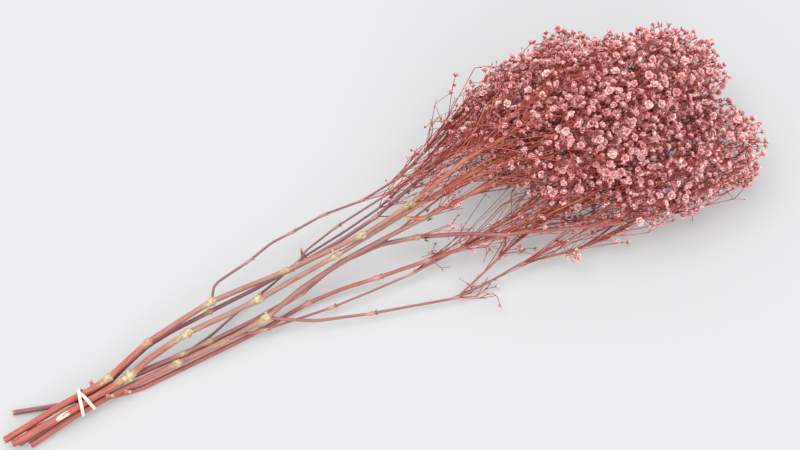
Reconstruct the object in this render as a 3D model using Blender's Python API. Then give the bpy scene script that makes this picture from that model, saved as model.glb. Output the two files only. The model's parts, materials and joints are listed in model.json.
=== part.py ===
"""A tied bunch of dried gypsophila, dyed a dusty red, lying on a table.

Six stems lie side by side, held by a rubber band near their cut ends. Each stem is one piece with
its joints, side branches, sprays and flower heads. Lengths in this file are in millimetres, and
become metres where a mesh is made. The bunch lies along X, with its cut ends at -X and its flowers
at +X, and rests on the plane Z = 0.
"""
import math
import random

import bmesh
import bpy
import numpy as np
from mathutils import Vector
from mathutils.bvhtree import BVHTree

MM = 0.001

# Sizes of the stems. Two stems keep GAP between them, and a stem that lies on the table is a little flat
STEM_SIDES = 6
BRANCH_SIDES = 5
GAP = 0.35
JOINT_LENGTH = 4.5
TIP_RADIUS = 1.1
FLAT_DEPTH = 0.12
SETTLE_ROUNDS = 160
SETTLE_SLACK = 0.05

# Sizes of the flower heads, and how deep in the cloud they lie, as shares of a lobe's half sizes
HEAD_COUNT = 468
HEAD_RADIUS = 5.0
HEAD_SPACING = 12.8
HEAD_SPREAD = (0.86, 1.08)
HEAD_NECK = 0.55
HEAD_RIM = ((1.0, 0.4), (0.86, 0.82))
HEAD_TOP = 1.12
HEAD_LOWEST = 0.6
SHELL = (0.86, 1.0)
CORE = (0.45, 0.86)
SHELL_SHARE = 0.85
CLEAR_CORE = 0.84
CLEAR_CORE_SHARE = 0.93
DARTS_PER_HEAD = 400

# Sizes of the sprays: twigs, forks, and where along the branches they start
PEDICEL_RADIUS = 0.68
TWIG_GROWTH = 0.11
ROOT_SINK = 2.5
SPRAY_FROM_X = 12.0
SPRAY_LENGTH = 48.0
STRAIGHTEST = 0.35
FORK_REACH = (0.34, 0.46)
SHORT_FORK = 0.6
THREE_WAY_SHARE = 0.75
NUDGES = (0.0, 2.5, 2.5, 5.0, 5.0)
REGROWTHS = 5
LATE_REACH = (9.0, 60.0)
LATE_LEAN = 0.25
LATE_TRIES = 10
SEED = 5

# Sizes of the rubber band. Its turns cross at one angle round the stems, where one climbs the other
BAND_WIDTH = 2.7
BAND_THICKNESS = 1.1
BAND_TURNS_APART = 5.0
BAND_STEPS = 48
BAND_CROSSING = math.radians(52)
BAND_CLIMB = (1.35, 0.75)
TIE_X = -257.0

# Moves the bunch so that the middle of its box stands over the origin
SHIFT = (6.3, -16.4, 0.0)

# Colours, as Principled base colours
STEM_RED = (0.33, 0.075, 0.055, 1.0)
BAND_CREAM = (0.86, 0.77, 0.70, 1.0)
SMOOTH_UP_TO = math.radians(62)

# Each stem runs from its cut end to its last joint: X, Y, Z and how much it swells there as a joint
STEMS = {
    "A": (2.6, [(-320, 14, 7.6, 0), (-270, 16.2, 11.8, 0), (-245, 17.6, 12.6, 0), (-233, 20, 12.5, 1.5),
                (-215, 26, 13, 0), (-195, 32, 14, 1.3), (-165, 35.5, 16, 0), (-138, 38, 17, 1.6),
                (-106, 35, 19, 0), (-77, 31, 22, 1.4), (-43, 28, 27, 0), (-14, 23, 33, 1.6),
                (8, 24, 39, 0), (28, 25, 45, 1.6), (56, 27, 54, 0), (80, 31, 61, 1.5),
                (117, 28, 71, 1.4), (144, 34, 77, 1.4), (180, 41, 80, 1.4), (218, 44, 78, 1.4)]),
    "B": (2.6, [(-316, 8, 8.4, 0), (-270, 9.8, 12.3, 0), (-245, 11.2, 12.8, 0), (-218, 14, 12.3, 1.7),
                (-200, 19, 14, 0), (-166, 23, 17, 1.6), (-136, 21, 19, 0), (-106, 20, 21, 1.7),
                (-72, 21, 24, 0), (-38, 22, 28, 1.5), (-1, 24, 33, 0), (36, 24, 39, 1.4),
                (84, 24, 49, 1.4), (124, 18, 59, 1.4), (168, 8, 65, 1.4), (214, 5, 66, 1.4),
                (250, 4, 62, 1.4)]),
    "C": (2.4, [(-305, 3.5, 2.6, 0), (-270, 7.2, 6.0, 0), (-245, 8.4, 7.4, 0), (-225, 9, 7.2, 0),
                (-182, 8, 8, 1.5), (-145, 7, 10, 1.2), (-107, 7, 13, 1.7), (-76, 14, 16.5, 0),
                (-37, 19, 19, 0), (-8, 18, 24, 0), (35, 15, 32, 1.4), (84, 12, 41, 1.4),
                (130, 4, 48, 1.4), (175, -7, 52, 1.4), (223, -12, 52, 1.4), (262, -22, 46, 1.4)]),
    "D": (2.4, [(-312, 8.5, 3.0, 0), (-270, 12.8, 7.6, 0), (-245, 13.8, 8.0, 0), (-215, 16, 6.4, 0),
                (-175, 13, 7, 1.3), (-153, 11, 8, 1.4), (-115, 11, 9.5, 0), (-75, 13, 11.5, 1.3),
                (-50, 19, 13.5, 0), (-33, 21, 14.5, 1.3), (-2, 18, 18, 0), (25, 8, 22, 1.5),
                (56, -8, 25, 0), (84, -26, 27, 1.4), (111, -37, 28, 0), (138, -50, 28, 1.5),
                (169, -61, 26, 1.4), (214, -66, 24, 1.4), (248, -68, 24, 1.4)]),
    "E": (1.9, [(-303, 14.5, 2.2, 0), (-270, 13.2, 3.6, 0), (-245, 11.5, 3.4, 0), (-215, 5.5, 1.4, 0),
                (-174, 5, 1.3, 0), (-114, 5, 1.3, 1.4), (-72, 7, 4.0, 1.4), (-44, 4, 6, 0),
                (-16, -2, 8.5, 1.4), (25, -10, 13, 1.4), (68, -18, 18, 1.4), (111, -25, 24, 1.4),
                (148, -32, 28, 1.4), (191, -36, 32, 1.4), (234, -40, 34, 1.4), (268, -43, 34, 1.4)]),
    "F": (1.9, [(-306, 34, 2.0, 0), (-270, 20, 4.6, 0), (-245, 18.0, 5.6, 0), (-235, 20, 5, 1.3),
                (-215, 27, 6, 0), (-195, 33, 7, 0), (-175, 34.5, 8, 0), (-142, 35, 9, 1.4),
                (-105, 35, 10, 0), (-65, 36, 13, 1.5), (-26, 37, 17, 0), (6, 40, 21, 1.4),
                (40, 47, 27, 1.4), (77, 55, 34, 1.4), (114, 62, 40, 1.4), (151, 65, 45, 1.4),
                (189, 71, 48, 1.4), (220, 76, 48, 1.4)]),
}

# Each side branch: the stem it is part of, the branch it grows from, its root there, and its route
BRANCHES = {
    "A1": ("A", "A", 7, 1.5, [(-135, 44, 18, 0), (-130, 50, 18, 0), (-98, 55, 18, 1.4), (-76, 61, 18, 0),
                              (-58, 61, 19, 1.4), (-29, 62, 21, 1.4), (3, 57, 24, 1.4), (38, 59, 28, 1.4),
                              (68, 69, 33, 1.4), (93, 80, 37, 1.4), (125, 87, 40, 1.4), (161, 90, 42, 1.4)]),
    "F1": ("F", "F", 9, 1.2, [(-56, 43, 15, 0), (-24, 49, 18, 1.4), (21, 50, 28, 1.4), (63, 52, 39, 1.4),
                              (104, 49, 49, 1.4), (140, 47, 56, 1.4)]),
    "D0": ("D", "D", 4, 1.5, [(-150, 18, 5, 0), (-124, 26, 5, 0), (-89, 35, 4, 0), (-59, 43, 7, 1.4),
                              (-20, 45, 12, 0), (13, 49, 15, 1.4), (51, 60, 19, 1.4), (80, 72, 24, 1.4),
                              (116, 82, 27, 1.4)]),
    "C1": ("C", "C", 6, 1.8, [(-95, 0, 10, 0), (-74, -12, 8, 0), (-34, -26, 6, 1.4), (2, -37, 5, 0),
                              (30, -46, 5, 1.5), (62, -47, 7, 0), (89, -46, 9, 1.4), (124, -56, 11, 1.4),
                              (160, -62, 12, 1.4)]),
    "C2": ("C", "C1", 5, 1.2, [(72, -35, 10, 1.3), (104, -26, 14, 1.3), (136, -20, 20, 1.3)]),
    "C3": ("C", "C", 5, 1.4, [(-130, 5.5, 9, 0), (-112, 1, 7.5, 1.4), (-73, -4, 5.5, 0), (-58, -6, 5, 1.6),
                              (-26, -9, 6, 0), (9, -12, 8, 1.5), (50, -13, 13, 1.4), (87, -13, 20, 1.4),
                              (124, -13, 28, 1.4)]),
    "D2": ("D", "D", 10, 1.2, [(28, 23, 23, 0), (65, 29, 28, 1.4), (101, 30, 36, 1.4)]),
    "D3": ("D", "D", 15, 1.2, [(166, -48, 34, 1.4), (197, -51, 40, 1.4)]),
}

# The lobes of the flower cloud, as ellipsoids: middle and half sizes
LOBES = [
    ((187, 19, 52), (79, 59, 50)),
    ((245, 20, 51), (58, 44, 41)),
    ((221, -38, 32), (54, 36, 33)),
    ((154, 65, 38), (64, 34, 34)),
    ((198, 85, 38), (32, 24, 28)),
    ((176, -37, 21), (44, 18, 17)),
    ((122, 39, 44), (46, 34, 28)),
    ((272, -41, 29), (34, 34, 30)),
    ((76, 83, 32), (15, 9, 8)),
    ((172, -65, 9), (13, 7, 6)),
]


def new_material(name, colour, roughness):
    """A plain finish for one sub-part."""
    material = bpy.data.materials.new(name)
    material.use_nodes = True
    shader = material.node_tree.nodes["Principled BSDF"]
    shader.inputs["Base Color"].default_value = colour
    shader.inputs["Roughness"].default_value = roughness
    shader.inputs["Metallic"].default_value = 0.0
    return material


def closest(p, q, a, b):
    """Closest points of the segments p-q and a-b, row by row: the two places along them and the gap."""
    d1 = q - p
    d2 = b - a
    r = p - a
    aa = np.einsum("...i,...i", d1, d1) + 1e-9
    ee = np.einsum("...i,...i", d2, d2) + 1e-9
    bb = np.einsum("...i,...i", d1, d2)
    cc = np.einsum("...i,...i", d1, r)
    ff = np.einsum("...i,...i", d2, r)
    s = np.clip((bb * ff - cc * ee) / (aa * ee - bb * bb + 1e-9), 0.0, 1.0)
    t = np.clip((bb * s + ff) / ee, 0.0, 1.0)
    s = np.clip((bb * t - cc) / aa, 0.0, 1.0)
    apart = (p + d1 * s[..., None]) - (a + d2 * t[..., None])
    return s, t, apart


class Route:
    """One stem or side branch: its points, its radius at each, and the joints on it."""

    def __init__(self, name, stem, radius, rows, parent=None, root=None):
        self.name = name
        self.stem = stem
        self.parent = parent
        self.root = root
        self.points = np.array([row[:3] for row in rows], float)
        self.swell = [row[3] for row in rows]
        if parent is not None:
            self.points = np.vstack([parent.points[root], self.points])
            self.swell = [0] + self.swell
        steps = np.linalg.norm(np.diff(self.points, axis=0), axis=1)
        along = np.concatenate([[0.0], np.cumsum(steps)]) / steps.sum()
        self.radii = radius + (min(TIP_RADIUS, radius) - radius) * along

    def hold_root(self):
        """Keeps a side branch on the joint that it grows from."""
        if self.parent is not None:
            self.points[0] = self.parent.points[self.root]


def make_routes():
    """All stems and side branches, each side branch after the one that carries it."""
    routes = {}
    for name, (radius, rows) in STEMS.items():
        routes[name] = Route(name, name, radius, rows)
    for name, (stem, parent, root, radius, rows) in BRANCHES.items():
        routes[name] = Route(name, stem, radius, rows, routes[parent], root)
    return routes


def settle(routes):
    """Bends the routes of different stems clear of each other, and keeps all of them off the table."""
    spans = []
    for name, route in routes.items():
        for i in range(len(route.points) - 1):
            spans.append((name, i, i + 1, max(route.radii[i], route.radii[i + 1])))
        for i, swell in enumerate(route.swell):
            if swell:
                spans.append((name, i, i, route.radii[i] * swell))
    stems = np.array([routes[row[0]].stem for row in spans])
    radii = np.array([row[3] for row in spans])
    left, right = np.triu_indices(len(spans), 1)
    pairs = stems[left] != stems[right]
    left = left[pairs]
    right = right[pairs]
    need = radii[left] + radii[right] + GAP
    for _ in range(SETTLE_ROUNDS):
        start = np.array([routes[row[0]].points[row[1]] for row in spans])
        end = np.array([routes[row[0]].points[row[2]] for row in spans])
        s, t, apart = closest(start[left], end[left], start[right], end[right])
        gap = np.linalg.norm(apart, axis=1)
        tight = np.nonzero(gap < need)[0]
        if len(tight) == 0:
            break
        for k in tight:
            way = apart[k] / max(gap[k], 1e-6)
            push = way * (need[k] - gap[k] + SETTLE_SLACK) / 2
            for row, at, sign in ((spans[left[k]], s[k], 1), (spans[right[k]], t[k], -1)):
                points = routes[row[0]].points
                points[row[1]] += sign * push * (1 - at)
                points[row[2]] += sign * push * at
        for route in routes.values():
            low = route.radii * math.cos(math.pi / STEM_SIDES) - FLAT_DEPTH
            route.points[:, 2] = np.maximum(route.points[:, 2], low)
            route.hold_root()


def ring(centre, along, radius, sides, turn):
    """A regular polygon of points round a centre, square to a direction."""
    side = turn - along * turn.dot(along)
    side.normalize()
    other = along.cross(side)
    points = []
    for i in range(sides):
        angle = 2 * math.pi * i / sides
        points.append(centre + (side * math.cos(angle) + other * math.sin(angle)) * radius)
    return points, side


def tube_mesh(route, sides):
    """A stem or branch as a closed tube with a swelling at each joint."""
    rings = []
    count = len(route.points)
    for i, point in enumerate(route.points):
        point = Vector(point)
        before = point - Vector(route.points[max(i - 1, 0)])
        after = Vector(route.points[min(i + 1, count - 1)]) - point
        radius = route.radii[i]
        if route.swell[i] and 0 < i < count - 1:
            rings.append((point - before.normalized() * JOINT_LENGTH, radius))
            rings.append((point, radius * route.swell[i]))
            rings.append((point + after.normalized() * JOINT_LENGTH, radius))
        else:
            rings.append((point, radius))
    mesh = bmesh.new()
    down = math.pi / sides - math.pi / 2
    turn = Vector((0, math.cos(down), math.sin(down)))
    last = None
    for i, (centre, radius) in enumerate(rings):
        before = centre - rings[max(i - 1, 0)][0]
        after = rings[min(i + 1, len(rings) - 1)][0] - centre
        along = (before.normalized() + after.normalized()).normalized()
        points, turn = ring(centre, along, radius, sides, turn)
        verts = [mesh.verts.new(on_table(point)) for point in points]
        if last is None:
            mesh.faces.new(list(reversed(verts)))
        else:
            for k in range(sides):
                n = (k + 1) % sides
                mesh.faces.new((last[k], last[n], verts[n], verts[k]))
        last = verts
    mesh.faces.new(last)
    return mesh


def on_table(point):
    """A point in metres, moved up to the table if it lies below it."""
    return Vector((point[0] + SHIFT[0], point[1] + SHIFT[1], max(point[2], 0.0))) * MM


def inside(point, scale):
    """Whether a point lies in one of the cloud's lobes, drawn in or out by a factor."""
    for middle, half in LOBES:
        if sum(((point[k] - middle[k]) / (half[k] * scale)) ** 2 for k in range(3)) < 1.0:
            return True
    return False


def place_heads(draw):
    """The places of the flower heads: spread through the cloud, most of them near its outside."""
    volume = [half[0] * half[1] * half[2] for _, half in LOBES]
    places = []
    for _ in range(HEAD_COUNT * DARTS_PER_HEAD):
        middle, half = draw.choices(LOBES, volume)[0]
        way = Vector((draw.gauss(0, 1), draw.gauss(0, 1), draw.gauss(0, 1))).normalized()
        depth = draw.uniform(*(SHELL if draw.random() < SHELL_SHARE else CORE))
        point = np.array([middle[k] + half[k] * way[k] * depth for k in range(3)])
        if point[2] < HEAD_RADIUS:
            point[2] = HEAD_RADIUS * draw.uniform(HEAD_LOWEST, 1.0)
        if inside(point, CLEAR_CORE) and draw.random() < CLEAR_CORE_SHARE:
            continue
        if places and np.min(np.linalg.norm(np.array(places) - point, axis=1)) < HEAD_SPACING:
            continue
        places.append(point)
        if len(places) == HEAD_COUNT:
            break
    return places


class Port:
    """A joint or an end of a branch that carries a spray."""

    def __init__(self, route, index):
        self.stem = route.stem
        last = len(route.points) - 1
        self.point = route.points[index].copy()
        ahead = route.points[min(index + 1, last)] - route.points[max(index - 1, 0)]
        self.way = ahead / np.linalg.norm(ahead)
        if index == last:
            self.point = self.point - self.way * ROOT_SINK
        self.heads = []


def share_out(heads, ports):
    """Gives each head to the port that reaches it most directly."""
    where = np.array([port.point for port in ports])
    ways = np.array([port.way for port in ports])
    for head in heads:
        to_head = head - where
        far = np.linalg.norm(to_head, axis=1)
        straight = np.einsum("ij,ij->i", to_head, ways) / far
        cost = far * (3.7 - 3.0 * straight) + 0.6 * np.abs(far - SPRAY_LENGTH)
        cost[straight < STRAIGHTEST] += cost.max()
        ports[int(np.argmin(cost))].heads.append(head)


class Fork:
    """A place where a twig forks, or ends in a head."""

    def __init__(self, point, radius):
        self.point = np.array(point, float)
        self.radius = radius
        self.head = 0.0
        self.children = []


def split(heads, at, way, draw):
    """Parts the heads into the two or three groups that the twigs of one fork lead to."""
    off = np.array(heads) - at
    off = off - np.outer(off @ way, way)
    values, axes = np.linalg.eigh(off.T @ off)
    wide = axes[:, 2]
    if len(heads) >= 6 and values[1] > 0.3 * values[2] and draw.random() < THREE_WAY_SHARE:
        other = np.cross(way, wide)
        angles = np.arctan2(off @ other, off @ wide)
        order = np.argsort(angles)
        turned = angles[order]
        holes = np.diff(np.concatenate([turned, [turned[0] + 2 * math.pi]]))
        first = (int(np.argmax(holes)) + 1) % len(heads)
        order = np.roll(order, -first)
        third = len(heads) / 3
        cuts = [0, round(third), round(2 * third), len(heads)]
        groups = []
        for k in range(3):
            part = order[cuts[k]:cuts[k + 1]]
            span = (angles[part[-1]] - angles[part[0]]) % (2 * math.pi)
            groups.append((span, [heads[i] for i in part]))
        if max(span for span, _ in groups) < 0.9 * math.pi:
            return [group for _, group in groups]
    side = off @ wide
    near = [head for head, value in zip(heads, side) if value < 0]
    far = [head for head, value in zip(heads, side) if value >= 0]
    return [group for group in (near, far) if group]


def twig_radius(count):
    """A twig's radius from the number of heads that it carries."""
    return PEDICEL_RADIUS + TWIG_GROWTH * math.sqrt(count - 1)


def grow(start, heads, draw, taken, lost):
    """One twig and all that it carries, or nothing where other stems leave it no room."""
    radius = twig_radius(len(heads))
    if len(heads) == 1:
        for nudge in NUDGES:
            place = heads[0] + np.array([draw.uniform(-nudge, nudge) for _ in range(3)])
            place[2] = max(place[2], HEAD_RADIUS * HEAD_LOWEST)
            fork = pedicel(start, place, draw, taken)
            if fork is not None:
                return fork
        lost.append(heads[0])
        return None
    for shorten in (1.0, 1.0, 1.0, SHORT_FORK, SHORT_FORK, SHORT_FORK):
        middle = np.mean(heads, axis=0)
        at = start + (middle - start) * draw.uniform(*FORK_REACH) * shorten
        if taken.blocked(start, at, radius):
            middle = np.mean(draw.sample(heads, len(heads) // 2 + 1), axis=0)
            at = start + (middle - start) * FORK_REACH[0] * shorten
        if not taken.blocked(start, at, radius):
            break
    else:
        lost.extend(heads)
        return None
    way = (at - start) / np.linalg.norm(at - start)
    fork = Fork(at, radius)
    for group in split(heads, at, way, draw):
        child = grow(at, group, draw, taken, lost)
        if child is not None:
            fork.children.append(child)
    if not fork.children:
        return None
    only = fork.children[0]
    if len(fork.children) == 1 and not taken.blocked(start, only.point, only.radius):
        return only
    return fork


def pedicel(start, head, draw, taken):
    """The last twig, which ends in a flower head, or nothing where it has no room."""
    way = head - start
    way = way / np.linalg.norm(way)
    neck = head - way * HEAD_RADIUS * HEAD_NECK
    if taken.blocked(start, neck, PEDICEL_RADIUS) or taken.blocked(head, head, HEAD_RADIUS):
        return None
    fork = Fork(neck, PEDICEL_RADIUS)
    fork.head = HEAD_RADIUS * draw.uniform(*HEAD_SPREAD)
    return fork


class Taken:
    """The room that stems, twigs and heads already fill, as thick lines."""

    def __init__(self):
        self.rows = []

    def add(self, stem, start, end, radius):
        """Adds one thick line, or a ball where it starts and ends at one point."""
        self.rows.append((stem, start, end, radius))

    def ready(self, stem):
        """Gathers what belongs to the other stems before a spray of this stem grows."""
        others = [row for row in self.rows if row[0] != stem]
        self.start = np.array([row[1] for row in others])
        self.end = np.array([row[2] for row in others])
        self.radius = np.array([row[3] for row in others])

    def blocked(self, start, end, radius):
        """Whether a thick line would touch any other stem."""
        count = len(self.radius)
        p = np.broadcast_to(np.asarray(start, float), (count, 3))
        q = np.broadcast_to(np.asarray(end, float), (count, 3))
        _, _, apart = closest(p, q, self.start, self.end)
        return bool(np.any(np.linalg.norm(apart, axis=1) < self.radius + radius + GAP))

    def add_spray(self, stem, start, fork):
        """Adds a twig and all that it carries."""
        self.add(stem, start, fork.point, fork.radius)
        if fork.head:
            way = fork.point - start
            way = way / np.linalg.norm(way)
            middle = fork.point + way * HEAD_RADIUS * HEAD_NECK
            self.add(stem, middle, middle, fork.head)
        for child in fork.children:
            self.add_spray(stem, fork.point, child)


def spray_mesh(start, fork):
    """A spray as one closed mesh of three-sided twigs that fork at their ends and end in heads."""
    mesh = bmesh.new()
    way = Vector(fork.point - start).normalized()
    points, _ = ring(Vector(start), way, fork.radius, 3, Vector((0.1, 0.2, 1)))
    root = [mesh.verts.new(on_table(point)) for point in points]
    mesh.faces.new(list(reversed(root)))
    extend(mesh, root, start, fork)
    return mesh


def extend(mesh, base, start, fork):
    """Grows one twig from three base corners to its fork or head."""
    way = Vector(fork.point - start).normalized()
    middle = sum((vert.co for vert in base), Vector()) / 3
    aim = way.copy()
    turn = base[0].co - middle
    if fork.children:
        ways = [Vector(child.point - fork.point).normalized() for child in fork.children]
        aim = (way * 1.2 + sum(ways, Vector()) / len(ways)).normalized()
        turn = hub_turn(aim, ways)
    points, _ = ring(Vector(fork.point), aim, fork.radius, 3, turn)
    points = match_corners(base, points, way, middle)
    verts = [mesh.verts.new(on_table(point)) for point in points]
    for k in range(3):
        n = (k + 1) % 3
        if (base[k].co - verts[n].co).length < (base[n].co - verts[k].co).length:
            mesh.faces.new((base[k], base[n], verts[n]))
            mesh.faces.new((base[k], verts[n], verts[k]))
        else:
            mesh.faces.new((base[k], base[n], verts[k]))
            mesh.faces.new((base[n], verts[n], verts[k]))
    if fork.head:
        add_head(mesh, verts, Vector(fork.point), way, fork.head)
        return
    crown = Vector(fork.point) + aim * fork.radius * 0.9
    peak = mesh.verts.new(on_table(crown))
    faces = [(verts[k], verts[(k + 1) % 3], peak) for k in range(3)]
    for face, child in match_faces(faces, fork):
        if child is None:
            mesh.faces.new(face)
        else:
            extend(mesh, list(face), fork.point, child)


def hub_turn(aim, ways):
    """Turns a fork's triangle so that its faces look towards the twigs that leave it."""
    sideways = [(way - aim * way.dot(aim)).normalized() for way in ways]
    if len(ways) != 2:
        return -sideways[0]
    between = sideways[0] + sideways[1]
    if between.length < 0.2:
        between = aim.cross(sideways[0])
    return between.normalized()


def match_corners(base, points, way, middle):
    """Starts a ring at the corner that lies nearest its base corner, so that a twig isn't wrung."""
    best = None
    for shift in range(3):
        total = 0.0
        for k in range(3):
            off = points[(k + shift) % 3] - sum(points, Vector()) / 3
            mine = base[k].co - middle
            mine = mine - way * mine.dot(way)
            total += off.normalized().dot(mine.normalized())
        if best is None or total > best[0]:
            best = (total, shift)
    return [points[(k + best[1]) % 3] for k in range(3)]


def match_faces(faces, fork):
    """Pairs each face of a fork's hub with the twig that leaves through it."""
    normals = []
    for face in faces:
        a, b, c = (vert.co for vert in face)
        normals.append((b - a).cross(c - a).normalized())
    ways = [Vector(child.point - fork.point).normalized() for child in fork.children]
    orders = [(0, 1, 2), (0, 2, 1), (1, 0, 2), (1, 2, 0), (2, 0, 1), (2, 1, 0)]
    best = max(orders, key=lambda order: sum(normals[order[k]].dot(way) for k, way in enumerate(ways)))
    pairs = [(faces[best[k]], child) for k, child in enumerate(fork.children)]
    pairs += [(faces[best[k]], None) for k in range(len(fork.children), 3)]
    return pairs


def add_head(mesh, base, point, way, radius):
    """A flower head: a rim of five petals, high and low by turns, round a raised middle."""
    middle = sum((vert.co for vert in base), Vector()) / 3
    side = (base[0].co - middle).normalized()
    other = way.cross(side)
    verts = []
    for k in range(5):
        angle = 2 * math.pi * (k - 0.35) / 5
        out = side * math.cos(angle) + other * math.sin(angle)
        wide, high = HEAD_RIM[k % 2]
        verts.append(mesh.verts.new(on_table(point + out * radius * wide + way * radius * high)))
    top = mesh.verts.new(on_table(point + way * radius * HEAD_TOP))
    for k, corner in enumerate((0, 1, 1, 2, 0)):
        mesh.faces.new((base[corner], verts[(k + 1) % 5], verts[k]))
    for k, rim in enumerate((1, 3, 4)):
        mesh.faces.new((base[k], base[(k + 1) % 3], verts[rim]))
    for k in range(5):
        mesh.faces.new((verts[k], verts[(k + 1) % 5], top))


def crosses_itself(mesh):
    """Whether faces of a mesh that share no corner cut each other."""
    mesh.verts.ensure_lookup_table()
    mesh.faces.ensure_lookup_table()
    mesh.verts.index_update()
    mesh.faces.index_update()
    tree = BVHTree.FromBMesh(mesh, epsilon=0.0)
    corners = [{vert.index for vert in face.verts} for face in mesh.faces]
    return any(i < j and not corners[i] & corners[j] for i, j in tree.overlap(tree))


class Spray:
    """All that grows from one port."""

    def __init__(self, port, fork):
        self.stem = port.stem
        self.start = port.point
        self.fork = fork

    def sound(self):
        """Whether its mesh doesn't cross itself."""
        mesh = spray_mesh(self.start, self.fork)
        crossed = crosses_itself(mesh)
        mesh.free()
        return not crossed

    def open_forks(self):
        """The forks that could carry one more twig, each with the direction that it points in."""
        found = []
        stack = [(self.start, self.fork)]
        while stack:
            start, fork = stack.pop()
            way = fork.point - start
            if fork.children and len(fork.children) < 3:
                found.append((fork, way / np.linalg.norm(way)))
            stack.extend((fork.point, child) for child in fork.children)
        return found


def grow_spray(port, draw, taken, lost):
    """The spray of one port, which loses a head after each few tries that cross themselves."""
    heads = list(port.heads)
    tries = 0
    taken.ready(port.stem)
    while heads:
        missed = []
        fork = grow(port.point, heads, draw, taken, missed)
        if fork is None:
            break
        spray = Spray(port, fork)
        if spray.sound():
            lost.extend(missed)
            taken.add_spray(port.stem, port.point, fork)
            return spray
        tries += 1
        if tries % REGROWTHS == 0:
            lost.append(heads.pop(draw.randrange(len(heads))))
    lost.extend(heads)
    return None


def add_late_heads(lost, sprays, draw, taken):
    """Gives each head that found no room to the nearest fork that can still carry it, if there is one."""
    for head in lost:
        choices = []
        for spray in sprays:
            for fork, way in spray.open_forks():
                off = head - fork.point
                far = np.linalg.norm(off)
                if LATE_REACH[0] < far < LATE_REACH[1] and off.dot(way) > LATE_LEAN * far:
                    choices.append((far * (2.0 - off.dot(way) / far), len(choices), spray, fork))
        choices.sort(key=lambda row: row[:2])
        for _, _, spray, fork in choices[:LATE_TRIES]:
            taken.ready(spray.stem)
            twig = pedicel(fork.point, head, draw, taken)
            if twig is None:
                continue
            fork.children.append(twig)
            if spray.sound():
                taken.add_spray(spray.stem, fork.point, twig)
                break
            fork.children.pop()


def object_from(mesh, name, material):
    """Turns a bmesh into an object with its material."""
    data = bpy.data.meshes.new(name)
    mesh.to_mesh(data)
    mesh.free()
    data.materials.append(material)
    thing = bpy.data.objects.new(name, data)
    bpy.context.scene.collection.objects.link(thing)
    return thing


def union(name, base, others):
    """Fuses the pieces of one stem into one closed body."""
    parts = bpy.data.collections.new(name + "_parts")
    for thing in others:
        bpy.context.scene.collection.objects.unlink(thing)
        parts.objects.link(thing)
    bpy.context.scene.collection.children.link(parts)
    fuse = base.modifiers.new("fuse", "BOOLEAN")
    fuse.operation = "UNION"
    fuse.operand_type = "COLLECTION"
    fuse.collection = parts
    fuse.solver = "MANIFOLD"
    bpy.context.view_layer.update()
    result = bpy.data.meshes.new_from_object(base.evaluated_get(bpy.context.evaluated_depsgraph_get()))
    base.modifiers.clear()
    base.data = result
    result.shade_smooth()
    result.set_sharp_from_angle(angle=SMOOTH_UP_TO)
    for thing in others:
        bpy.data.objects.remove(thing)
    bpy.data.collections.remove(parts)
    base.name = name


def tie_outline(routes, x):
    """Points round each stem where it passes through one section of the tie."""
    outline = []
    for name in STEMS:
        points = routes[name].points
        place = np.array([np.interp(x, points[:4, 0], points[:4, k]) for k in (1, 2)])
        radius = np.interp(x, points[:4, 0], routes[name].radii[:4])
        for k in range(48):
            angle = 2 * math.pi * k / 48
            outline.append(place + np.array([math.cos(angle), math.sin(angle)]) * radius)
    return np.array(outline)


def make_band(routes, material):
    """The rubber band: one closed loop wound twice, its turns crossing on the far upper side."""
    rim = tie_outline(routes, TIE_X)
    middle = (rim.max(axis=0) + rim.min(axis=0)) / 2
    half_w = BAND_WIDTH / 2
    half_t = BAND_THICKNESS / 2
    mesh = bmesh.new()
    loops = []
    for i in range(BAND_STEPS):
        t = 4 * math.pi * i / BAND_STEPS
        angle = t + BAND_CROSSING
        out = np.array([math.cos(angle), math.sin(angle)])
        x = TIE_X + BAND_TURNS_APART * math.sin(t / 2)
        reach = max(band_reach(tie_outline(routes, x + edge) - middle, out) for edge in (-half_w, half_w))
        lift = (BAND_THICKNESS + GAP) * smooth(*BAND_CLIMB, abs(t - 2 * math.pi))
        centre = middle + out * (reach + GAP + half_t + lift)
        corners = [(-half_w, -half_t), (half_w, -half_t), (half_w, half_t * 0.4), (half_w * 0.6, half_t),
                   (-half_w * 0.6, half_t), (-half_w, half_t * 0.4)]
        loop = []
        for across, up in corners:
            place = centre + out * up
            loop.append(mesh.verts.new(on_table((x + across, place[0], place[1]))))
        loops.append(loop)
    for here, there in zip(loops, loops[1:] + loops[:1]):
        for k in range(len(here)):
            n = (k + 1) % len(here)
            mesh.faces.new((here[k], here[n], there[n], there[k]))
    bmesh.ops.recalc_face_normals(mesh, faces=mesh.faces)
    band = object_from(mesh, "tie", material)
    band.data.shade_smooth()
    band.data.set_sharp_from_angle(angle=SMOOTH_UP_TO)


def smooth(start, end, value):
    """0 at start, 1 at end, with a smooth step between."""
    share = min(max((value - start) / (end - start), 0.0), 1.0)
    return share * share * (3 - 2 * share)


def band_reach(rim, out):
    """How far a stretched band stands from the middle of the stems in one direction."""
    reach = math.inf
    for lean in np.radians(np.arange(-84, 85, 3)):
        way = np.array([out[0] * math.cos(lean) - out[1] * math.sin(lean),
                        out[0] * math.sin(lean) + out[1] * math.cos(lean)])
        reach = min(reach, np.max(rim @ way) / math.cos(lean))
    return reach


for old in list(bpy.data.objects):
    bpy.data.objects.remove(old)

draw = random.Random(SEED)
all_routes = make_routes()
settle(all_routes)
ports = []
room = Taken()
for route in all_routes.values():
    for k in range(len(route.points) - 1):
        room.add(route.stem, route.points[k], route.points[k + 1], max(route.radii[k], route.radii[k + 1]))
    for k, swell in enumerate(route.swell):
        if swell:
            room.add(route.stem, route.points[k], route.points[k], route.radii[k] * swell)
        if (swell and route.points[k][0] > SPRAY_FROM_X) or k == len(route.points) - 1:
            ports.append(Port(route, k))
share_out(place_heads(draw), ports)

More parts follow.
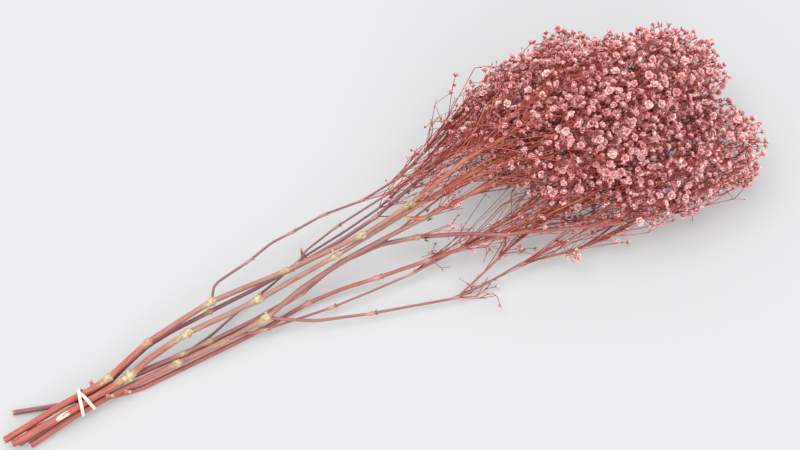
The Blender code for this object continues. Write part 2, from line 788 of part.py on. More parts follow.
lost_heads = []
sprays = []
for port in ports:
    grown = grow_spray(port, draw, room, lost_heads)
    if grown is not None:
        sprays.append(grown)
add_late_heads(lost_heads, sprays, draw, room)

for name in STEMS:
    stem_material = new_material("stem_" + name, STEM_RED, 0.6)
    pieces = []
    for route in all_routes.values():
        if route.stem == name:
            sides = STEM_SIDES if route.name in STEMS else BRANCH_SIDES
            pieces.append(object_from(tube_mesh(route, sides), "piece", stem_material))
    for spray in sprays:
        if spray.stem == name:
            pieces.append(object_from(spray_mesh(spray.start, spray.fork), "piece", stem_material))
    union("stem_" + name, pieces[0], pieces[1:])
make_band(all_routes, new_material("band_cream", BAND_CREAM, 0.45))
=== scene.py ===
"""A tied bunch of dried gypsophila, dyed a dusty red, lying on a pale table.

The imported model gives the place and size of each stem. This script repeats the stems' routes and
grows their fine twigs and flower heads again, at true size. Lengths are in millimetres until a mesh
is made, and the bunch lies along X, with its cut ends at -X and its flowers at +X.
"""
import json
import math
import random

import bmesh
import bpy
import numpy as np
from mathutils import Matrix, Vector

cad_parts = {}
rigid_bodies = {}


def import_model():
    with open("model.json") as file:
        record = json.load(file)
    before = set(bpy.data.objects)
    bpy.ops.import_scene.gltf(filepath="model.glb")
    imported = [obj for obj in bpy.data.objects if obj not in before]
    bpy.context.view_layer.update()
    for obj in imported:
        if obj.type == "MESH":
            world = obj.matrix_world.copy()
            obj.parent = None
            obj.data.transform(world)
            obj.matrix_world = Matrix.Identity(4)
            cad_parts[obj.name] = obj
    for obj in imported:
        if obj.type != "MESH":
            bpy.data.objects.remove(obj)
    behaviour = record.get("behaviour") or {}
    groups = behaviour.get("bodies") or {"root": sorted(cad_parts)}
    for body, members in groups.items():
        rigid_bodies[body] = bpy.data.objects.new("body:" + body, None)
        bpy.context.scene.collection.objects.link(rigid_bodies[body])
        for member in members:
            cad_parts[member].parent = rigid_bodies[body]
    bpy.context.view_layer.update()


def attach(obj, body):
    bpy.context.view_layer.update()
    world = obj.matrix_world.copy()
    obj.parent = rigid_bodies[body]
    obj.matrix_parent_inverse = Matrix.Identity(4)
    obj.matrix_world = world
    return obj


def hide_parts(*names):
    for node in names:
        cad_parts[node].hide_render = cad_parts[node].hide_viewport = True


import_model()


# The six stems with their side branches.
# Each is a dried woody stem that grew in one piece, dyed red by standing it in dye. It is swollen and
# pale at each joint, where leaves and side branches left it, and shrunk into fine ribs as it dried.
MM = 0.001
TINY = 1e-6
FULL_TURN = 6.28

# The shift that brings the routes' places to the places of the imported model's stems
SHIFT = np.array((6.3, -16.4, 0.0))

STEM_SIDES = 18
STEM_RIBS = 6
RIB_DEPTH = 0.045
KNOB_HEIGHT = 1.1
KNOB_SIZE = 2.4
TIP_RADIUS = 1.1
STEM_GAP = 0.35
FLAT_DEPTH = 0.12
FLAT_TO_CORNER = math.cos(math.pi / 6)
SETTLE_ROUNDS = 160
SETTLE_SLACK = 0.05
PATH_STEP = 2.0
BEND_ROUNDING = 2
BRANCH_SLIM = 0.68
WAVER = 0.045
WAVER_LENGTHS = (7.0, 17.0, 41.0)
JOINT_BEFORE = 5.2
JOINT_AFTER = 2.0
THIN_RADIUS = 2.0
THIN_JOINT = 0.6
COLLAR_PLACE = 1.3
COLLAR_REACH = 0.7
COLLAR_HEIGHT = 0.4
JOINT_SAMPLES = (-6.4, 6.5, 0.8)
JOINT_VARIES = (0.75, 1.15)
PALE_BEFORE = 8.0
PALE_AFTER = 3.2
PALE_VARIES = (0.7, 1.3)
PALE_OF_SWELL = 2.0
THIN_ROSY = 0.85
STUB_ROSY = 0.4
FULL_RADIUS = 2.4
YOUNG_X = (-20.0, 70.0)
YOUNG_SHARE = 0.65
WARM_X = (10.0, 120.0)
DUSTY_X = (-235.0, -150.0)
STEM_RED = "A04236"
STEM_DARK_RED = "86352F"
STEM_SALMON = "AC6854"
STEM_DUSTY = "98776A"
STEM_PURPLE = "7E5A62"
JOINT_OLIVE = "98865F"
JOINT_CREAM = "C3B18B"
JOINT_ROSE = "CFA08F"
BRANCH_ORANGE = "A4623C"

# Streaks of dye and of relief: how many round the stem, how many on a metre, and where they begin and end
BARK_STREAKS = (2.2, 60.0, 0.38, 0.62)
DARK_STREAKS = (3.4, 110.0, 0.5, 0.72)
JOINT_STREAKS = (1.3, 320.0, 0.42, 0.6)
PATCHY_STREAKS = (1.6, 200.0, 0.3, 0.6)
RIB_STREAKS = (6.0, 140.0, 0.2, 0.8)

# Each stem from its cut end to its last joint: X, Y, Z and how much it swells there as a joint
STEMS = {
    "A": (2.6, [(-320, 14, 7.6, 0), (-270, 16.2, 11.8, 0), (-245, 17.6, 12.6, 0), (-233, 20, 12.5, 1.5),
                (-215, 26, 13, 0), (-195, 32, 14, 1.3), (-165, 35.5, 16, 0), (-138, 38, 17, 1.6),
                (-106, 35, 19, 0), (-77, 31, 22, 1.4), (-43, 28, 27, 0), (-14, 23, 33, 1.6),
                (8, 24, 39, 0), (28, 25, 45, 1.6), (56, 27, 54, 0), (80, 31, 61, 1.5),
                (117, 28, 71, 1.4), (144, 34, 77, 1.4), (180, 41, 80, 1.4), (218, 44, 78, 1.4)]),
    "B": (2.6, [(-316, 8, 8.4, 0), (-270, 9.8, 12.3, 0), (-245, 11.2, 12.8, 0), (-218, 14, 12.3, 1.7),
                (-200, 19, 14, 0), (-166, 23, 17, 1.6), (-136, 21, 19, 0), (-106, 20, 21, 1.7),
                (-72, 21, 24, 0), (-38, 22, 28, 1.5), (-1, 24, 33, 0), (36, 24, 39, 1.4),
                (84, 24, 49, 1.4), (124, 18, 59, 1.4), (168, 8, 65, 1.4), (214, 5, 66, 1.4),
                (250, 4, 62, 1.4)]),
    "C": (2.4, [(-305, 3.5, 2.6, 0), (-270, 7.2, 6.0, 0), (-245, 8.4, 7.4, 0), (-225, 9, 7.2, 0),
                (-182, 8, 8, 1.5), (-145, 7, 10, 1.2), (-107, 7, 13, 1.7), (-76, 14, 16.5, 0),
                (-37, 19, 19, 0), (-8, 18, 24, 0), (35, 15, 32, 1.4), (84, 12, 41, 1.4),
                (130, 4, 48, 1.4), (175, -7, 52, 1.4), (223, -12, 52, 1.4), (262, -22, 46, 1.4)]),
    "D": (2.4, [(-312, 8.5, 3.0, 0), (-270, 12.8, 7.6, 0), (-245, 13.8, 8.0, 0), (-215, 16, 6.4, 0),
                (-175, 13, 7, 1.3), (-153, 11, 8, 1.4), (-115, 11, 9.5, 0), (-75, 13, 11.5, 1.3),
                (-50, 19, 13.5, 0), (-33, 21, 14.5, 1.3), (-2, 18, 18, 0), (25, 8, 22, 1.5),
                (56, -8, 25, 0), (84, -26, 27, 1.4), (111, -37, 28, 0), (138, -50, 28, 1.5),
                (169, -61, 26, 1.4), (214, -66, 24, 1.4), (248, -68, 24, 1.4)]),
    "E": (1.9, [(-303, 14.5, 2.2, 0), (-270, 13.2, 3.6, 0), (-245, 11.5, 3.4, 0), (-215, 5.5, 1.4, 0),
                (-174, 5, 1.3, 0), (-114, 5, 1.3, 1.4), (-72, 7, 4.0, 1.4), (-44, 4, 6, 0),
                (-16, -2, 8.5, 1.4), (25, -10, 13, 1.4), (68, -18, 18, 1.4), (111, -25, 24, 1.4),
                (148, -32, 28, 1.4), (191, -36, 32, 1.4), (234, -40, 34, 1.4), (268, -43, 34, 1.4)]),
    "F": (1.9, [(-306, 34, 2.0, 0), (-270, 20, 4.6, 0), (-245, 18.0, 5.6, 0), (-235, 20, 5, 1.3),
                (-215, 27, 6, 0), (-195, 33, 7, 0), (-175, 34.5, 8, 0), (-142, 35, 9, 1.4),
                (-105, 35, 10, 0), (-65, 36, 13, 1.5), (-26, 37, 17, 0), (6, 40, 21, 1.4),
                (40, 47, 27, 1.4), (77, 55, 34, 1.4), (114, 62, 40, 1.4), (151, 65, 45, 1.4),
                (189, 71, 48, 1.4), (220, 76, 48, 1.4)]),
}

# Each side branch: the stem it is part of, the branch it grows from, its root there, and its route
BRANCHES = {
    "A1": ("A", "A", 7, 1.5, [(-135, 44, 18, 0), (-130, 50, 18, 0), (-98, 55, 18, 1.4), (-76, 61, 18, 0),
                              (-58, 61, 19, 1.4), (-29, 62, 21, 1.4), (3, 57, 24, 1.4), (38, 59, 28, 1.4),
                              (68, 69, 33, 1.4), (93, 80, 37, 1.4), (125, 87, 40, 1.4), (161, 90, 42, 1.4)]),
    "F1": ("F", "F", 9, 1.2, [(-56, 43, 15, 0), (-24, 49, 18, 1.4), (21, 50, 28, 1.4), (63, 52, 39, 1.4),
                              (104, 49, 49, 1.4), (140, 47, 56, 1.4)]),
    "D0": ("D", "D", 4, 1.5, [(-150, 18, 5, 0), (-124, 26, 5, 0), (-89, 35, 4, 0), (-59, 43, 7, 1.4),
                              (-20, 45, 12, 0), (13, 49, 15, 1.4), (51, 60, 19, 1.4), (80, 72, 24, 1.4),
                              (116, 82, 27, 1.4)]),
    "C1": ("C", "C", 6, 1.8, [(-95, 0, 10, 0), (-74, -12, 8, 0), (-34, -26, 6, 1.4), (2, -37, 5, 0),
                              (30, -46, 5, 1.5), (62, -47, 7, 0), (89, -46, 9, 1.4), (124, -56, 11, 1.4),
                              (160, -62, 12, 1.4)]),
    "C2": ("C", "C1", 5, 1.2, [(72, -35, 10, 1.3), (104, -26, 14, 1.3), (136, -20, 20, 1.3)]),
    "C3": ("C", "C", 5, 1.4, [(-130, 5.5, 9, 0), (-112, 1, 7.5, 1.4), (-73, -4, 5.5, 0), (-58, -6, 5, 1.6),
                              (-26, -9, 6, 0), (9, -12, 8, 1.5), (50, -13, 13, 1.4), (87, -13, 20, 1.4),
                              (124, -13, 28, 1.4)]),
    "D2": ("D", "D", 10, 1.2, [(28, 23, 23, 0), (65, 29, 28, 1.4), (101, 30, 36, 1.4)]),
    "D3": ("D", "D", 15, 1.2, [(166, -48, 34, 1.4), (197, -51, 40, 1.4)]),
}

# How purple, how orange and how dusty each stem or branch is coloured
STEM_TINTS = {"A": (0.0, 0.9, 0.8), "B": (0.0, 0.8, 0.9), "C": (0.15, 0.5, 0.7), "D": (0.55, 0.1, 0.5),
       "E": (0.2, 0.1, 0.2), "F": (0.8, 0.0, 0.2), "A1": (0.75, 0.0, 0.4), "F1": (0.7, 0.0, 0.2),
       "D0": (0.9, 0.0, 0.2), "C1": (0.45, 0.1, 0.5), "C2": (0.2, 0.1, 0.3), "C3": (0.3, 0.1, 0.5),
       "D2": (0.2, 0.3, 0.2), "D3": (0.2, 0.2, 0.2)}

# The form of a broken side shoot, which is frayed at its end: places along it, how thick it is there
# and how pale
STUB_FORM = ((0.0, 1.5, 0.4), (0.35, 1.05, 0.1), (0.7, 0.95, 0.2), (0.92, 1.1, 0.8), (1.0, 0.55, 1.0))

# What is left of side shoots that broke off: the stem, the foot, the direction, length and radius
STUBS = [
    ("C", (-226, 7, 7.0), (0.6, -0.75, 0.2), 4.5, 1.5),
    ("B", (-240, 8, 11.5), (0.75, -0.6, 0.25), 5.0, 1.3),
    ("A", (-246, 20, 13.0), (-0.1, 0.75, 0.6), 4.2, 1.3),
    ("D", (-58, 43, 8.0), (0.12, 0.5, 0.85), 8.5, 1.0),
    ("D", (-60, 42, 8.0), (-0.35, -0.3, 0.85), 4.0, 0.9),
    ("A", (-42, 27, 28.0), (0.5, -0.4, 0.75), 4.5, 1.2),
    ("C", (34, 15, 33.0), (-0.9, 0.38, 0.2), 14.0, 1.4),
    ("C", (-106, 8, 13.5), (-0.3, 0.5, 0.8), 3.4, 1.2),
    ("A", (-137, 37, 17.5), (-0.5, -0.3, 0.8), 3.2, 1.1),
    ("B", (-105, 21, 21.5), (0.2, 0.75, 0.6), 4.0, 1.2),
]


def closest(p, q, a, b):
    """Closest points of the segments p-q and a-b, row by row: the two places along them and the gap."""
    d1 = q - p
    d2 = b - a
    r = p - a
    never_zero = 1e-9
    aa = np.einsum("...i,...i", d1, d1) + never_zero
    ee = np.einsum("...i,...i", d2, d2) + never_zero
    bb = np.einsum("...i,...i", d1, d2)
    cc = np.einsum("...i,...i", d1, r)
    ff = np.einsum("...i,...i", d2, r)
    s = np.clip((bb * ff - cc * ee) / (aa * ee - bb * bb + never_zero), 0.0, 1.0)
    t = np.clip((bb * s + ff) / ee, 0.0, 1.0)
    s = np.clip((bb * t - cc) / aa, 0.0, 1.0)
    apart = (p + d1 * s[..., None]) - (a + d2 * t[..., None])
    return s, t, apart


def unit(way):
    """A direction with the length of one."""
    return np.array(way) / max(np.linalg.norm(way), TINY)


class Route:
    """One stem or side branch: its points, its radius at each, and the joints on it."""

    def __init__(self, name, stem, radius, rows, parent=None, root=None):
        self.name = name
        self.stem = stem
        self.parent = parent
        self.root = root
        self.points = np.array([row[:3] for row in rows], float)
        self.swell = [row[3] for row in rows]
        if parent is not None:
            self.points = np.vstack([parent.points[root], self.points])
            self.swell = [0] + self.swell
        steps = np.linalg.norm(np.diff(self.points, axis=0), axis=1)
        along = np.concatenate([[0.0], np.cumsum(steps)]) / steps.sum()
        self.radii = radius + (min(TIP_RADIUS, radius) - radius) * along

    def near_foot(self, x):
        """The middle and the radius of a main stem at a place near its cut end."""
        middle = np.array([np.interp(x, self.points[:4, 0], self.points[:4, k]) for k in range(3)])
        return middle, np.interp(x, self.points[:4, 0], self.radii[:4])


def settle(routes):
    """Bends the routes of different stems clear of each other, and keeps all of them off the table."""
    spans = []
    for name, route in routes.items():
        for i in range(len(route.points) - 1):
            spans.append((name, i, i + 1, max(route.radii[i], route.radii[i + 1])))
        for i, swell in enumerate(route.swell):
            if swell:
                spans.append((name, i, i, route.radii[i] * swell))
    stems = np.array([routes[row[0]].stem for row in spans])
    radii = np.array([row[3] for row in spans])
    left, right = np.triu_indices(len(spans), 1)
    pairs = stems[left] != stems[right]
    left = left[pairs]
    right = right[pairs]
    need = radii[left] + radii[right] + STEM_GAP
    for _ in range(SETTLE_ROUNDS):
        start = np.array([routes[row[0]].points[row[1]] for row in spans])
        end = np.array([routes[row[0]].points[row[2]] for row in spans])
        s, t, apart = closest(start[left], end[left], start[right], end[right])
        gap = np.linalg.norm(apart, axis=1)
        tight = np.nonzero(gap < need)[0]
        if len(tight) == 0:
            break
        for k in tight:
            way = apart[k] / max(gap[k], TINY)
            push = way * (need[k] - gap[k] + SETTLE_SLACK) / 2
            for row, at, sign in ((spans[left[k]], s[k], 1), (spans[right[k]], t[k], -1)):
                points = routes[row[0]].points
                points[row[1]] += sign * push * (1 - at)
                points[row[2]] += sign * push * at
        for route in routes.values():
            low = route.radii * FLAT_TO_CORNER - FLAT_DEPTH
            route.points[:, 2] = np.maximum(route.points[:, 2], low)
            if route.parent is not None:
                route.points[0] = route.parent.points[route.root]


def smooth(start, end, value):
    """0 at start, 1 at end, with a smooth step between."""
    share = np.clip((value - start) / (end - start), 0.0, 1.0)
    return share * share * (3 - 2 * share)


def stem_line(route, draw):
    """A stem's middle line with its thickness, its pale joints and its colour at each point."""
    steps = np.linalg.norm(np.diff(route.points, axis=0), axis=1)
    marks = np.concatenate([[0.0], np.cumsum(steps)])
    even = np.linspace(0.0, marks[-1], int(marks[-1] / PATH_STEP) + 1)
    path = np.stack([np.interp(even, marks, route.points[:, k]) for k in range(3)], axis=1)
    for _ in range(BEND_ROUNDING):
        path[1:-1] = path[:-2] * 0.25 + path[1:-1] * 0.5 + path[2:] * 0.25
    joints = [(mark, swell) for mark, swell in zip(marks[1:-1], route.swell[1:-1]) if swell]
    places = list(even[::3]) + [marks[-1]]
    for mark, _ in joints:
        places.extend(mark + np.arange(*JOINT_SAMPLES))
    places = np.unique(np.clip(np.round(places, 1), 0.0, marks[-1]))
    point = np.stack([np.interp(places, even, path[:, k]) for k in range(3)], axis=1)
    radii = route.radii * (BRANCH_SLIM if route.parent is not None else 1.0)
    base = np.interp(places, marks, radii)
    phase = [draw.uniform(0, FULL_TURN) for _ in WAVER_LENGTHS]
    waver = sum(np.sin(places / length + turn) for length, turn in zip(WAVER_LENGTHS, phase)) / 3
    thickness = base * (1 + WAVER * waver)
    pale = np.zeros(len(places))
    short = THIN_JOINT if route.radii[0] < THIN_RADIUS else 1.0
    for mark, swell in joints:
        off = places - mark
        age = 1.0 - YOUNG_SHARE * smooth(*YOUNG_X, np.interp(mark, even, path[:, 0]))
        size = age * np.interp(mark, marks, route.radii) / FULL_RADIUS
        reach = np.where(off < 0, JOINT_BEFORE, JOINT_AFTER) * short * draw.uniform(*JOINT_VARIES)
        thickness += base * (swell - 1) * age * np.exp(-(off / reach) ** 2)
        thickness += COLLAR_HEIGHT * size * np.exp(-((off - COLLAR_PLACE) / COLLAR_REACH) ** 2)
        reach = np.where(off < 0, PALE_BEFORE, PALE_AFTER) * short * draw.uniform(*PALE_VARIES)
        pale = np.maximum(pale, PALE_OF_SWELL * (swell - 1.0) * size * np.exp(-(off / reach) ** 2))
    pale = np.clip(pale, 0.0, 1.0)
    point[:, 2] = np.maximum(point[:, 2], thickness * (1 + RIB_DEPTH) + pale * KNOB_HEIGHT / 2)
    purple, orange, dusty = STEM_TINTS[route.name]
    warm = smooth(*WARM_X, point[:, 0])
    return {
        "point": (point + SHIFT) * MM,
        "thickness": thickness * MM,
        "pale": pale,
        "purple": np.full(len(places), purple),
        "rosy": np.full(len(places), THIN_ROSY if short < 1.0 else 0.0),
        "warm": orange * warm,
        "dusty": dusty * smooth(*DUSTY_X, point[:, 0]) * (1.0 - warm),
    }


def stub_line(foot, way, length, radius, purple):
    """What is left of a broken side shoot: a short tube, pale and frayed where it broke."""
    shares, thickness, pale = np.array(STUB_FORM).T
    return {
        "point": (np.array(foot) + np.outer(shares * length, unit(way)) + SHIFT) * MM,
        "thickness": radius * thickness * MM,
        "pale": pale,
        "purple": np.full(len(shares), purple),
        "rosy": np.full(len(shares), STUB_ROSY),
        "warm": np.zeros(len(shares)),
        "dusty": np.zeros(len(shares)),
    }


def lines_mesh(lines):
    """Open lines as one mesh of edges. What each point carries is kept as attributes."""
    data = bpy.data.meshes.new("lines")
    edges = []
    start = 0
    for line in lines:
        count = len(line["point"])
        edges.extend((start + k, start + k + 1) for k in range(count - 1))
        start += count
    data.from_pydata(np.concatenate([line["point"] for line in lines]).tolist(), edges, [])
    for key in lines[0]:
        if key != "point":
            attribute = data.attributes.new(key, "FLOAT", "POINT")
            attribute.data.foreach_set("value", np.concatenate([line[key] for line in lines]))
    return data


def first_output(node):
    """The first output of a node that its settings leave in use."""
    return next(output for output in node.outputs if output.enabled)


def add_node(tree, kind, inputs=None, **settings):
    """Adds a node with its settings. An input gets a value, or a link from an output or a node."""
    node = tree.nodes.new(kind)
    for key, value in settings.items():
        setattr(node, key, value)
    for key, value in (inputs or {}).items():
        if isinstance(value, bpy.types.Node):
            value = first_output(value)
        if isinstance(value, bpy.types.NodeSocket):
            tree.links.new(value, node.inputs[key])
        else:
            node.inputs[key].default_value = value
    return node


def new_tree(name, inputs):
    """A Geometry Nodes tree with its named inputs: the tree, its input node and its output node."""
    tree = bpy.data.node_groups.new(name, "GeometryNodeTree")
    tree.interface.new_socket(name="Geometry", in_out="INPUT", socket_type="NodeSocketGeometry")
    for label, kind in inputs.items():
        tree.interface.new_socket(name=label, in_out="INPUT", socket_type=kind)
    tree.interface.new_socket(name="Geometry", in_out="OUTPUT", socket_type="NodeSocketGeometry")
    return tree, add_node(tree, "NodeGroupInput").outputs, add_node(tree, "NodeGroupOutput")


def build(tree, data, name, values):
    """Runs a tree on a mesh, and gives the result as an object with a plain mesh."""
    thing = bpy.data.objects.new(name, data)
    bpy.context.scene.collection.objects.link(thing)
    modifier = thing.modifiers.new("build", "NODES")
    modifier.node_group = tree
    for item in tree.interface.items_tree:
        if item.item_type == "SOCKET" and item.in_out == "INPUT" and item.name in values:
            modifier[item.identifier] = values[item.name]
    bpy.context.view_layer.update()
    result = bpy.data.meshes.new_from_object(thing.evaluated_get(bpy.context.evaluated_depsgraph_get()))
    thing.modifiers.clear()
    thing.data = result
    result.name = name
    return thing


def make_tube_tree():
    """Grows a ribbed round tube along each line, and keeps a place on it as the attribute grain."""
    tree, given, output = new_tree("Tubes along lines", {
        "Sides": "NodeSocketInt", "Ribs": "NodeSocketInt", "Rib Depth": "NodeSocketFloat",
        "Knob Height": "NodeSocketFloat", "Knob Size": "NodeSocketFloat", "Material": "NodeSocketMaterial"})
    circle = add_node(tree, "GeometryNodeCurvePrimitiveCircle", {"Resolution": given["Sides"], "Radius": 1.0})
    share = add_node(tree, "GeometryNodeSplineParameter").outputs["Factor"]
    turn = add_node(tree, "ShaderNodeMath", {0: share, 1: 2 * math.pi}, operation="MULTIPLY")
    turns = add_node(tree, "ShaderNodeMath", {0: turn, 1: given["Ribs"]}, operation="MULTIPLY")
    wave = add_node(tree, "ShaderNodeMath", {0: turns}, operation="SINE")
    rib = add_node(tree, "ShaderNodeMath", {0: wave, 1: given["Rib Depth"], 2: 1.0}, operation="MULTIPLY_ADD")
    place = add_node(tree, "GeometryNodeInputPosition")
    ribbed = add_node(tree, "ShaderNodeVectorMath", {0: place, "Scale": rib}, operation="SCALE")
    profile = add_node(tree, "GeometryNodeSetPosition", {"Geometry": circle, "Position": ribbed})
    around = add_node(tree, "GeometryNodeCaptureAttribute", {"Geometry": profile})
    around.capture_items.new("VECTOR", "Around")
    tree.links.new(place.outputs[0], around.inputs[1])
    curve = add_node(tree, "GeometryNodeMeshToCurve", {"Mesh": given["Geometry"]})
    along = add_node(tree, "GeometryNodeCaptureAttribute", {"Geometry": curve})
    along.capture_items.new("FLOAT", "Along")
    length = add_node(tree, "GeometryNodeSplineParameter").outputs["Length"]
    tree.links.new(length, along.inputs[1])
    thickness, pale = (add_node(tree, "GeometryNodeInputNamedAttribute", {"Name": name}, data_type="FLOAT")
                       for name in ("thickness", "pale"))
    tube = add_node(tree, "GeometryNodeCurveToMesh", {
        "Curve": along, "Profile Curve": around, "Scale": thickness, "Fill Caps": True})
    parts = add_node(tree, "ShaderNodeSeparateXYZ", {"Vector": around.outputs[1]}).outputs
    grain = add_node(tree, "ShaderNodeCombineXYZ", {"X": parts[0], "Y": parts[1], "Z": along.outputs[1]})
    stored = add_node(tree, "GeometryNodeStoreNamedAttribute", {
        "Geometry": tube, "Name": "grain", "Value": grain}, data_type="FLOAT_VECTOR", domain="POINT")
    often = add_node(tree, "ShaderNodeMath", {0: 1.0, 1: given["Knob Size"]}, operation="DIVIDE")
    lumps = add_node(tree, "ShaderNodeTexNoise", {"Vector": place, "Scale": often, "Detail": 1.0})
    high = add_node(tree, "ShaderNodeMapRange", {
        "Value": lumps, "From Min": 0.3, "From Max": 0.7, "To Min": -0.5, "To Max": 0.5})
    lifted = add_node(tree, "ShaderNodeMath", {0: high, 1: given["Knob Height"]}, operation="MULTIPLY")
    knob = add_node(tree, "ShaderNodeMath", {0: lifted, 1: pale}, operation="MULTIPLY")
    normal = add_node(tree, "GeometryNodeInputNormal")
    offset = add_node(tree, "ShaderNodeVectorMath", {0: normal, "Scale": knob}, operation="SCALE")
    knobbed = add_node(tree, "GeometryNodeSetPosition", {"Geometry": stored, "Offset": offset})
    shaded = add_node(tree, "GeometryNodeSetShadeSmooth", {"Geometry": knobbed})
    real = add_node(tree, "GeometryNodeRealizeInstances", {"Geometry": shaded})
    finished = add_node(tree, "GeometryNodeSetMaterial", {"Geometry": real, "Material": given["Material"]})
    tree.links.new(finished.outputs[0], output.inputs[0])
    return tree


def grow_tubes(name, lines, sides, material, ribs=0, rib_depth=0.0, knob_height=0.0, knob_size=1.0):
    """Tubes along lines, as one object. Only the thick stems have ribs, and knobs at their joints."""
    return build(tube_tree, lines_mesh(lines), name, {
        "Sides": sides, "Ribs": ribs, "Rib Depth": rib_depth, "Knob Height": knob_height * MM,
        "Knob Size": knob_size * MM, "Material": material})


def colour(hex_code):
    """A linear colour from an sRGB hex code."""
    values = [int(hex_code[k:k + 2], 16) / 255 for k in (0, 2, 4)]
    return [v / 12.92 if v <= 0.04045 else ((v + 0.055) / 1.055) ** 2.4 for v in values] + [1.0]


def new_material(name, roughness, ior, gloss=0.5):
    """A material with its tree and shader. Fine loose fibres have less gloss than the usual 0.5."""
    material = bpy.data.materials.new(name)
    material.use_nodes = True
    shader = material.node_tree.nodes["Principled BSDF"]
    shader.inputs["Roughness"].default_value = roughness
    shader.inputs["IOR"].default_value = ior
    shader.inputs["Specular IOR Level"].default_value = gloss
    return material, material.node_tree, shader


def show(tree, shader, shade, height=None, strength=0.0, depth=0.0):
    """Gives a shader its colour and, where a height is given, its relief, whose depth is in metres."""
    tree.links.new(first_output(shade), shader.inputs["Base Color"])
    if height is not None:
        bump = add_node(tree, "ShaderNodeBump", {"Height": height, "Strength": strength, "Distance": depth})
        tree.links.new(bump.outputs[0], shader.inputs["Normal"])


def streaks(tree, across, along, low, high):
    """Noise drawn out along the stem, from a number of streaks round it and a number for each metre."""
    grain = add_node(tree, "ShaderNodeAttribute", attribute_name="grain").outputs["Vector"]
    placed = add_node(tree, "ShaderNodeMapping", {"Vector": grain, "Scale": (across, across, along)})
    noise = add_node(tree, "ShaderNodeTexNoise", {"Vector": placed, "Scale": 1.0, "Detail": 4.0})
    return add_node(tree, "ShaderNodeMapRange", {"Value": noise, "From Min": low, "From Max": high})


def dyed_stem_material():
    """Dyed dry stem, as it grew: soft satin bark whose dye is streaked along the fibres.

    Its real fibres are 0.1 mm wide, too fine to show, so the streaks are drawn 0.4 to 2 mm wide.
    """
    material, tree, shader = new_material("dyed_dry_stem_ribbed", roughness=0.58, ior=1.45)
    dusty, purple, warm, rosy, pale = (
        add_node(tree, "ShaderNodeAttribute", attribute_name=name).outputs["Fac"]
        for name in ("dusty", "purple", "warm", "rosy", "pale"))
    # A colour mix takes its share as input 0 and its two colours as inputs 6 and 7
    bark = colour(STEM_RED)
    for share, shade in ((streaks(tree, *BARK_STREAKS), STEM_SALMON), (dusty, STEM_DUSTY),
                         (purple, STEM_PURPLE), (warm, BRANCH_ORANGE),
                         (streaks(tree, *DARK_STREAKS), STEM_DARK_RED)):
        bark = add_node(tree, "ShaderNodeMix", {0: share, 6: bark, 7: colour(shade)}, data_type="RGBA")
    joint = colour(JOINT_OLIVE)
    for share, shade in ((streaks(tree, *JOINT_STREAKS), JOINT_CREAM), (rosy, JOINT_ROSE)):
        joint = add_node(tree, "ShaderNodeMix", {0: share, 6: joint, 7: colour(shade)}, data_type="RGBA")
    patchy = add_node(tree, "ShaderNodeMath", {0: streaks(tree, *PATCHY_STREAKS), 1: 0.6, 2: 0.6},
                      operation="MULTIPLY_ADD")
    share = add_node(tree, "ShaderNodeMath", {0: pale, 1: patchy}, operation="MULTIPLY", use_clamp=True)
    whole = add_node(tree, "ShaderNodeMix", {0: share, 6: bark, 7: joint}, data_type="RGBA")
    show(tree, shader, whole, streaks(tree, *RIB_STREAKS), strength=0.5, depth=0.0004)
    return material


routes = {}
for name, (radius, rows) in STEMS.items():
    routes[name] = Route(name, name, radius, rows)
for name, (stem, parent, root, radius, rows) in BRANCHES.items():
    routes[name] = Route(name, stem, radius, rows, routes[parent], root)
settle(routes)
tube_tree = make_tube_tree()
stem_material = dyed_stem_material()
stem_draw = random.Random(11)
for name in STEMS:
    lines = [stem_line(route, stem_draw) for route in routes.values() if route.stem == name]
    lines += [stub_line(*row, STEM_TINTS[stem][0]) for stem, *row in STUBS if stem == name]
    stem = grow_tubes("dyed_stem_" + name, lines, STEM_SIDES, stem_material, STEM_RIBS, RIB_DEPTH,
                      KNOB_HEIGHT, KNOB_SIZE)
    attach(stem, "root")
    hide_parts("stem_" + name)


# The sprays of twigs at the flower end.
# Each joint of a stem carries a spray that forks again and again, in twos and threes, into wiry twigs.
# They grew with their stem, took the same dye, and dried stiff, in reds and browns.

# Each lobe of the cloud of flower heads: its middle and its half widths
LOBES = [
    ((187, 19, 52), (79, 59, 50)),
    ((245, 20, 51), (58, 44, 41)),
    ((221, -38, 32), (54, 36, 33)),
    ((154, 65, 38), (64, 34, 34)),
    ((198, 85, 38), (32, 24, 28)),
    ((176, -37, 21), (44, 18, 17)),
    ((122, 39, 44), (46, 34, 28)),
    ((272, -41, 29), (34, 34, 30)),
    ((76, 83, 32), (15, 9, 8)),
    ((172, -65, 9), (13, 7, 6)),
]

HEAD_COUNT = 4300
HEAD_DARTS = 160000
HEAD_SPACING = 5.4
CLUMP_SIZE = (23.0, 19.0, 21.0)
CLUMP_GAPS = 0.92
CLUMP_EDGE = (0.25, -0.3)
CLUMP_BEND = 3
CLUMP_BEND_SIZE = 17
HEAD_LOW = 3.0
HEAD_LOW_SPREAD = 2.0
CLOUD_TOP = 106.0
SHELL = (0.6, 1.03)
STRAY = (1.03, 1.17)
STRAY_SHARE = 0.1
CLEAR_CORE = 0.66
CLEAR_CORE_SHARE = 0.8
THIN_FROM_X = 90.0
THIN_TO_X = 225.0
THINNEST = 0.14
UNDERSIDE_Z = 14.0
UNDERSIDE_SHARE = 0.5
PEDICEL_RADIUS = 0.26
PEDICEL_SIDES = 3
TWIG_SIDES = 5
TWIG_GROWTH = 0.086
SPRAY_FROM_X = 12.0
SPRAY_LENGTH = 48.0
LONG_FROM_X = -60.0
LONG_TO_X = 125.0
LONG_LENGTH = 115.0
LONG_SHARE = 0.5
LONG_CROSSING = 1.1
SHORT_CROSSING = 0.3
STRAIGHTEST = 0.35
FAR_COST = 3.7
STRAIGHT_SAVES = 3.0
